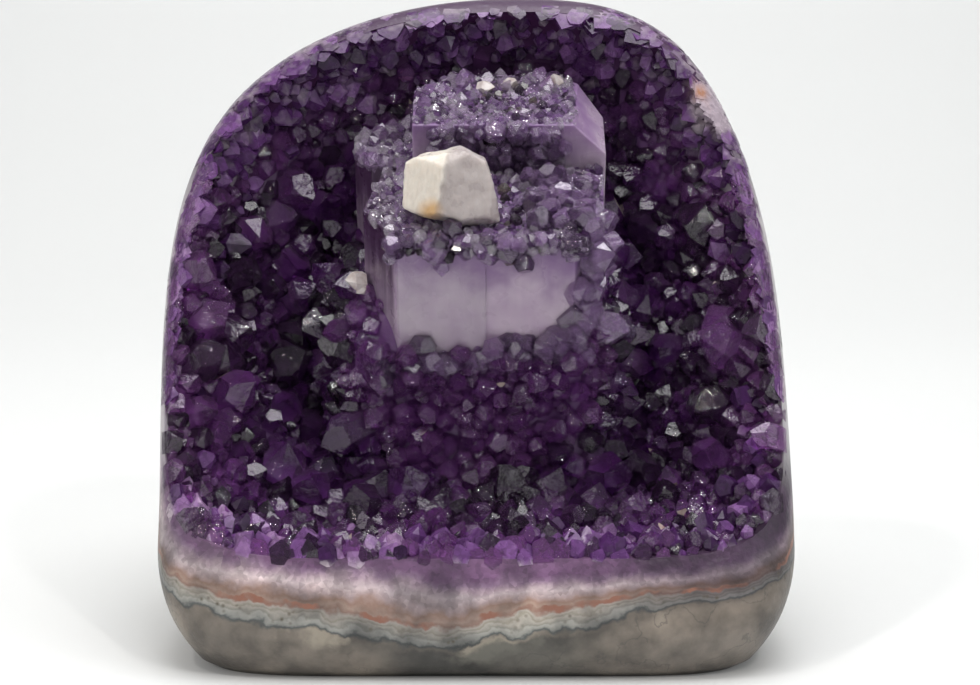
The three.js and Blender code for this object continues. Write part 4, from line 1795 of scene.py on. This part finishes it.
    def top_sprouts(self, prism: Prism, garden: CrystalGarden) -> list[Sprout]:
        """Sows a prism's top: a few big crystals, many small ones, and fine grains between."""
        crowd = Crowding(cell=6.0, spacing=0.6)
        corners = np.array(prism.corners)
        grown = []
        wide, deep = self.smoky_reach
        for tries, smallest, largest in self.top_passes:
            for _ in range(tries):
                k = int(garden.roll.integers(len(corners)))
                edge = corners[k] + garden.roll.uniform() * (corners[k - 1] - corners[k])
                share = math.sqrt(garden.roll.uniform()) * self.top_outermost
                x, y = prism.middle + share * (edge - prism.middle)
                if prism is REAR_PRISM and x > self.clear_from:
                    continue
                foot = self.frame.place(x, y, prism.top_at(y) - self.top_sunk)
                radius = garden.roll.uniform(smallest, largest)
                if not crowd.take(foot, radius):
                    continue
                aside, behind = x - self.smoky_across, y - prism.middle[1]
                smoky = self.smoky_tone * math.exp(-((aside / wide) ** 2) - (behind / deep) ** 2)
                tone = garden.roll.uniform(0, self.top_tone) + smoky * garden.roll.uniform(0.3, 1)
                outward = np.append(edge - prism.middle, 0) * share * self.top_splay
                way = self.frame.turn((outward[0], outward[1], 1.0))
                grown.append(
                    Sprout(
                        foot=foot,
                        axis=garden.tilted(way, 0.5),
                        radius=radius,
                        spin=garden.roll.uniform(0, math.pi),
                        tone=float(tone),
                        habit=Habit.POINT if garden.roll.uniform() < 0.6 else Habit.STUB,
                        clarity=Clarity.MILKY if radius > self.purple_from else Clarity.CLEAR,
                    )
                )
        return grown

    def strewn(self, garden: CrystalGarden) -> list[tuple[Point, Point, float, float]]:
        """Strews small crystals over the front prism.

        A collar stands around its foot, a step of them behind its top, a shelf on the top's right
        and a guard below the right corner. The last ones hang down over the front edge.

        Args:
            garden: Where the draws come from.

        Returns:
            Each crystal's place, direction, radius and tone.
        """
        draw = garden.roll.uniform
        strewn = []
        for _ in range(self.collar_count):
            share = draw()
            along = -42 + 10 * share + draw(-3, 4)
            at = (-26 + 54 * share, draw(-1.5, 2.5), along)
            way = (draw(-0.5, 0.5), -0.8, draw(0, 0.9))
            tone = draw(0.4, 0.85)
            strewn.append((at, way, draw(2.0, 3.4), tone))
        for _ in range(self.step_count):
            at = (draw(-12, 24), 35.5, draw(0, 12))
            way = (draw(-0.5, 0.5), -0.7, draw(0.2, 1.0))
            tone = draw(0.2, 1)
            strewn.append((at, way, draw(1.4, 2.9), tone))
        for _ in range(self.shelf_count):
            share = draw()
            at = (30 - 18 * share, draw(4, 32), draw(0, 2.4))
            way = (draw(-0.4, 0.7), -0.5, draw(0.4, 1.0))
            strewn.append((at, way, draw(1.6, 3.2), draw(0.1, 0.85)))
        for _ in range(self.guard_count):
            low = draw(0, 1)
            at = (31 - 8 * low * draw(0.3, 1), draw(0, 8), -5 - 31 * low)
            way = (draw(-0.1, 0.9), -0.8, draw(-0.1, 0.8))
            tone = draw(0.2, 0.75)
            strewn.append((at, way, draw(2.0, 3.7), tone))
        for _ in range(self.drip_count):
            drop = abs(garden.roll.normal(0, 1)) * 2.4
            at = (draw(-22, 28), draw(-0.4, 1.2), -drop)
            way = (draw(-0.7, 0.7), -1.0, draw(-0.3, 1.2))
            strewn.append((at, way, draw(0.9, 2.3), draw(0, 1)))
        return strewn

    def flank_sprouts(self, garden: CrystalGarden) -> list[Sprout]:
        """The crystals that grow out of the front prism's sides."""
        grown = [
            Sprout(
                foot=self.frame.place(*at),
                axis=self.frame.turn(way),
                radius=radius,
                spin=garden.roll.uniform(0, math.pi),
                tone=tone,
                habit=Habit.STUB,
                clarity=Clarity.MILKY if radius > self.purple_from else Clarity.CLEAR,
            )
            for at, way, radius, tone in [*self.flank_places, *self.strewn(garden)]
        ]
        grown += [
            Sprout(
                foot=self.frame.place(*at),
                axis=self.frame.turn(way),
                radius=radius,
                spin=0.4,
                tone=0.0,
                clarity=Clarity.FROSTED,
            )
            for at, way, radius in self.frosted_places
        ]
        return grown

    def build_druse(self, effects: Effects) -> bpy.types.Object:
        """Grows the crystals on the prisms."""
        garden = CrystalGarden(seed=44)
        bank = SolidBank()
        sprouts = self.flank_sprouts(garden)
        for prism in PRISMS:
            sprouts += self.top_sprouts(prism, garden)
        for sprout in sprouts:
            faces, height = garden.grow(sprout)
            plant(bank, faces, height, sprout, garden)
        materials = [
            self.druse.material(effects),
            self.frost.material(effects),
            self.amethyst.material(effects),
        ]
        piece = bank.piece("prism_druse", materials)
        keep_values(piece, "layer_depth", np.full(len(piece.data.vertices), -10.0))
        return piece


@dataclass
class Calcite:
    """The milky crystal on the front prism."""

    frame: PrismFrame
    finish: CalciteFinish = CalciteFinish()
    place: Point = (-6.5, 11.0, 8.6)
    outline: tuple[tuple[float, float], ...] = (
        (-12.4, 1.5),
        (-11.6, 7.2),
        (-8.4, 9.3),
        (-1.2, 10.1),
        (3.0, 10.8),
        (9.4, 7.8),
        (11.2, 2.4),
        (12.8, -8.4),
        (3.4, -9.8),
        (-6.8, -6.8),
        (-12.4, -4.2),
    )
    blank: float = 16.0
    half_depth: float = 7.2
    front_leans: tuple[float, float] = (0.05, 0.2)
    back_leans: tuple[float, float] = (0.5, 0.8)
    back_slack: float = 1.6
    front_cuts: tuple[tuple[Point, float], ...] = (
        ((-0.45, -0.88, 0.1), 7.4),
        ((0.3, -0.93, 0.2), 6.9),
    )
    pitch: float = math.radians(9.6)
    plate_rise: float = 1.3

    def build(self, effects: Effects) -> bpy.types.Object:
        """Cuts the crystal to its outline and wears its edges."""
        depth = self.half_depth
        faces = block((-self.blank, -depth, -self.blank), (self.blank, depth, self.blank))
        roll = np.random.default_rng(3)
        count = len(self.outline)
        for i, (x0, z0) in enumerate(self.outline):
            x1, z1 = self.outline[(i + 1) % count]
            out = np.array([z0 - z1, 0.0, x1 - x0])
            out /= np.linalg.norm(out)
            if out[0] * x0 + out[2] * z0 < 0:
                out = -out
            for lean in (roll.uniform(*self.front_leans), -roll.uniform(*self.back_leans)):
                tilted = unit(out + np.array([0.0, lean, 0.0]))
                reach = float(tilted[0] * x0 + tilted[2] * z0)
                slack = 0.0 if lean > 0 else self.back_slack
                faces = cut_solid(faces, tuple(tilted.tolist()), reach + slack)
        for normal, reach in self.front_cuts:
            faces = cut_solid(faces, normal, reach)
        centre = self.frame.place(*self.place)
        turn = np.array(Matrix.Rotation(self.pitch, 3, "X"))
        placed = [[tuple((turn @ p + centre).tolist()) for p in face] for face in faces]
        bank = SolidBank()
        bank.add(placed, {})
        piece = bank.piece("milky_calcite", [self.finish.material(effects)])
        self.wear(piece, centre)
        return piece

    def wear(self, piece: bpy.types.Object, centre: np.ndarray) -> None:
        """Rounds the edges, chips the faces and stores where the two halves meet."""
        edge = piece.modifiers.new("edges", "BEVEL")
        edge.width = 2.0 * MM
        edge.segments = 3
        settle(piece)
        fine = piece.modifiers.new("fine", "REMESH")
        fine.mode = "VOXEL"
        fine.voxel_size = 0.45 * MM
        worn = piece.modifiers.new("worn", "SMOOTH")
        worn.iterations = 16
        settle(piece)
        points = mesh_points(piece)
        away = unit(points - centre)
        chips = 0.7 * wobble(points, 7.0, 2.0) + 0.2 * wobble(points, 1.8, 6.0)
        local = points - centre
        seam = -2.6 + 0.25 * local[:, 2] + 1.1 * wobble(points, 3.5, 9.0)
        plate = self.plate_rise / (1 + np.exp((local[:, 0] - seam) * 4))
        moved = points + away * (chips - 0.3)[:, None]
        moved[:, 1] -= np.where(local[:, 1] < 0, plate, 0)
        piece.data.vertices.foreach_set("co", (moved * MM).ravel())
        cream = 1 / (1 + np.exp((local[:, 0] - seam) * 2.2))
        keep_values(piece, "cream_side", cream)
        spot = np.hypot(local[:, 0] + 5.2, local[:, 2] + 5.4) + 0.8 * wobble(points, 2.5, 4.0)
        keep_values(piece, "stain", np.clip(1.35 - spot / 3.0, 0, 1))
        piece.data.shade_smooth()


@dataclass
class Studio:
    """The pale floor, the soft lights and the camera."""

    camera_place: Point = (3.6, -615.0, 182.0)
    pitch_down: float = math.radians(9.6)
    lens: float = 85.0
    sensor: float = 36.0
    floor_colours: tuple[Colour, Colour] = ((0.76, 0.77, 0.765), (0.78, 0.785, 0.78))
    floor_glow: float = 0.04
    world_strength: float = 0.24
    bounces: int = 7

    def build(self) -> None:
        """Sets up everything that isn't part of the object."""
        self.floor()
        self.lights()
        self.camera()
        settings = bpy.context.scene.view_settings
        settings.view_transform = "Standard"
        settings.look = "None"
        cycles = bpy.context.scene.cycles
        cycles.max_bounces = self.bounces
        cycles.transmission_bounces = self.bounces
        cycles.diffuse_bounces = 3
        cycles.glossy_bounces = 3
        cycles.caustics_reflective = False

    def floor(self) -> None:
        """A floor that sweeps up behind into a backdrop."""
        width, front, back, rise = 3.5, -2.5, 1.4, 2.4
        bend = 0.9
        profile = [(front, 0.0), (back - bend, 0.0)]
        for i in range(1, 13):
            turn = math.pi / 2 * i / 12
            profile.append((back - bend + bend * math.sin(turn), bend - bend * math.cos(turn)))
        profile.append((back, rise))
        points = [(side * width, y, z) for y, z in profile for side in (-1, 1)]
        faces = [[2 * i, 2 * i + 1, 2 * i + 3, 2 * i + 2] for i in range(len(profile) - 1)]
        sweep = mesh_object("floor_sweep", points, faces)
        sweep.data.shade_smooth()

        def build(pad: NodePad, shader: bpy.types.Node) -> None:
            """Paints the floor with a faint unevenness."""
            cloud = pad.add("ShaderNodeTexNoise")
            cloud.inputs["Scale"].default_value = 3.0
            tint = pad.mix(cloud.outputs["Fac"], *self.floor_colours)
            pad.feed(shader.inputs["Base Color"], tint)
            seen = pad.add("ShaderNodeLightPath").outputs["Is Camera Ray"]
            pad.feed(shader.inputs["Emission Color"], WHITE)
            pad.feed(shader.inputs["Emission Strength"], pad.times(seen, self.floor_glow))

        sweep.data.materials.append(
            stone_shader("pale_floor", build, Roughness=0.55, Specular_IOR_Level=0.2)
        )

    def lights(self) -> None:
        """Soft boxes above and in front, and an even pale room."""
        world = bpy.data.worlds.new("room")
        bpy.context.scene.world = world
        world.use_nodes = True
        room = world.node_tree.nodes["Background"]
        room.inputs["Color"].default_value = (0.96, 0.98, 1.0, 1.0)
        room.inputs["Strength"].default_value = self.world_strength
        self.soft_box("overhead", (0.1, -0.1, 1.1), 0.8, 8.8, (1.0, 1.0, 1.0))
        self.soft_box("left_side", (-1.0, -0.2, 0.55), 0.6, 1.8, (1.0, 0.99, 0.98))
        self.soft_box("right_side", (1.0, -0.1, 0.5), 0.5, 1.0, (0.98, 0.99, 1.0))
        self.soft_box("left_front", (-0.8, -0.9, 0.75), 0.06, 1.3, (1.0, 0.92, 0.84))
        self.soft_box("right_front", (0.95, -0.6, 0.6), 0.06, 0.9, (0.97, 0.98, 1.0))
        self.soft_box("front_fill", (0.1, -1.5, 0.3), 0.7, 1.6, (1.0, 0.98, 0.98))
        self.soft_box("high_left", (-0.45, -0.35, 1.0), 0.05, 1.6, (1.0, 0.97, 0.94))
        self.soft_box("high_right", (0.4, -0.6, 0.9), 0.05, 1.6, (1.0, 0.97, 0.94))
        self.soft_box("backdrop", (0.0, 0.5, 1.5), 0.8, 8.0, (1.0, 1.0, 1.0), (0.0, 1.4, 0.8))

    def soft_box(
        self,
        name: str,
        at: Point,
        size: float,
        power: float,
        tint: Colour,
        target: Point = (0.0, 0.0, 0.09),
    ) -> None:
        """Adds one square light.

        Args:
            name: The light's name.
            at: Where it stands, in metres.
            size: Its side, in metres.
            power: Its power, in watts.
            tint: Its colour.
            target: What it faces; the geode, if not given.
        """
        light = bpy.data.lights.new(name, "AREA")
        light.size = size
        light.energy = power
        light.color = tint
        lamp = bpy.data.objects.new(name, light)
        lamp.location = at
        aim = Vector(target) - Vector(at)
        lamp.rotation_euler = aim.to_track_quat("-Z", "Y").to_euler()
        bpy.context.scene.collection.objects.link(lamp)

    def camera(self) -> None:
        """The photograph's viewpoint."""
        data = bpy.data.cameras.new("camera")
        data.lens = self.lens
        data.sensor_width = self.sensor
        data.clip_start = 0.01
        camera = bpy.data.objects.new("camera", data)
        camera.location = Vector(self.camera_place) * MM
        camera.rotation_euler = (math.pi / 2 - self.pitch_down, 0.0, 0.0)
        bpy.context.scene.collection.objects.link(camera)
        bpy.context.scene.camera = camera


def declare(piece: bpy.types.Object, node: str) -> None:
    """Attaches a piece to the root body, hides the part it stands for, and reports its triangles.
    """
    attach(piece, ROOT_BODY)
    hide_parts(node)
    triangles = sum(len(face.vertices) - 2 for face in piece.data.polygons)
    LOG.info("%s: %d triangles", piece.name, triangles)


def main() -> None:
    """Builds every piece in order."""
    logging.basicConfig(level=logging.INFO, format="%(message)s")
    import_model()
    form = GeodeForm()
    frame = PrismFrame()
    Studio().build()
    effects = Effects.build(frame.lean)
    declare(RockShell(form).build(effects), "rock_shell")
    declare(AmethystCrust(form, frame).build(effects), "amethyst_crust")
    stand = PrismStand(frame)
    declare(stand.build_shafts(effects), "pale_prisms")
    declare(stand.build_druse(effects), "pale_prisms")
    declare(Calcite(frame).build(effects), "white_calcite")


if __name__ == "__main__":
    main()
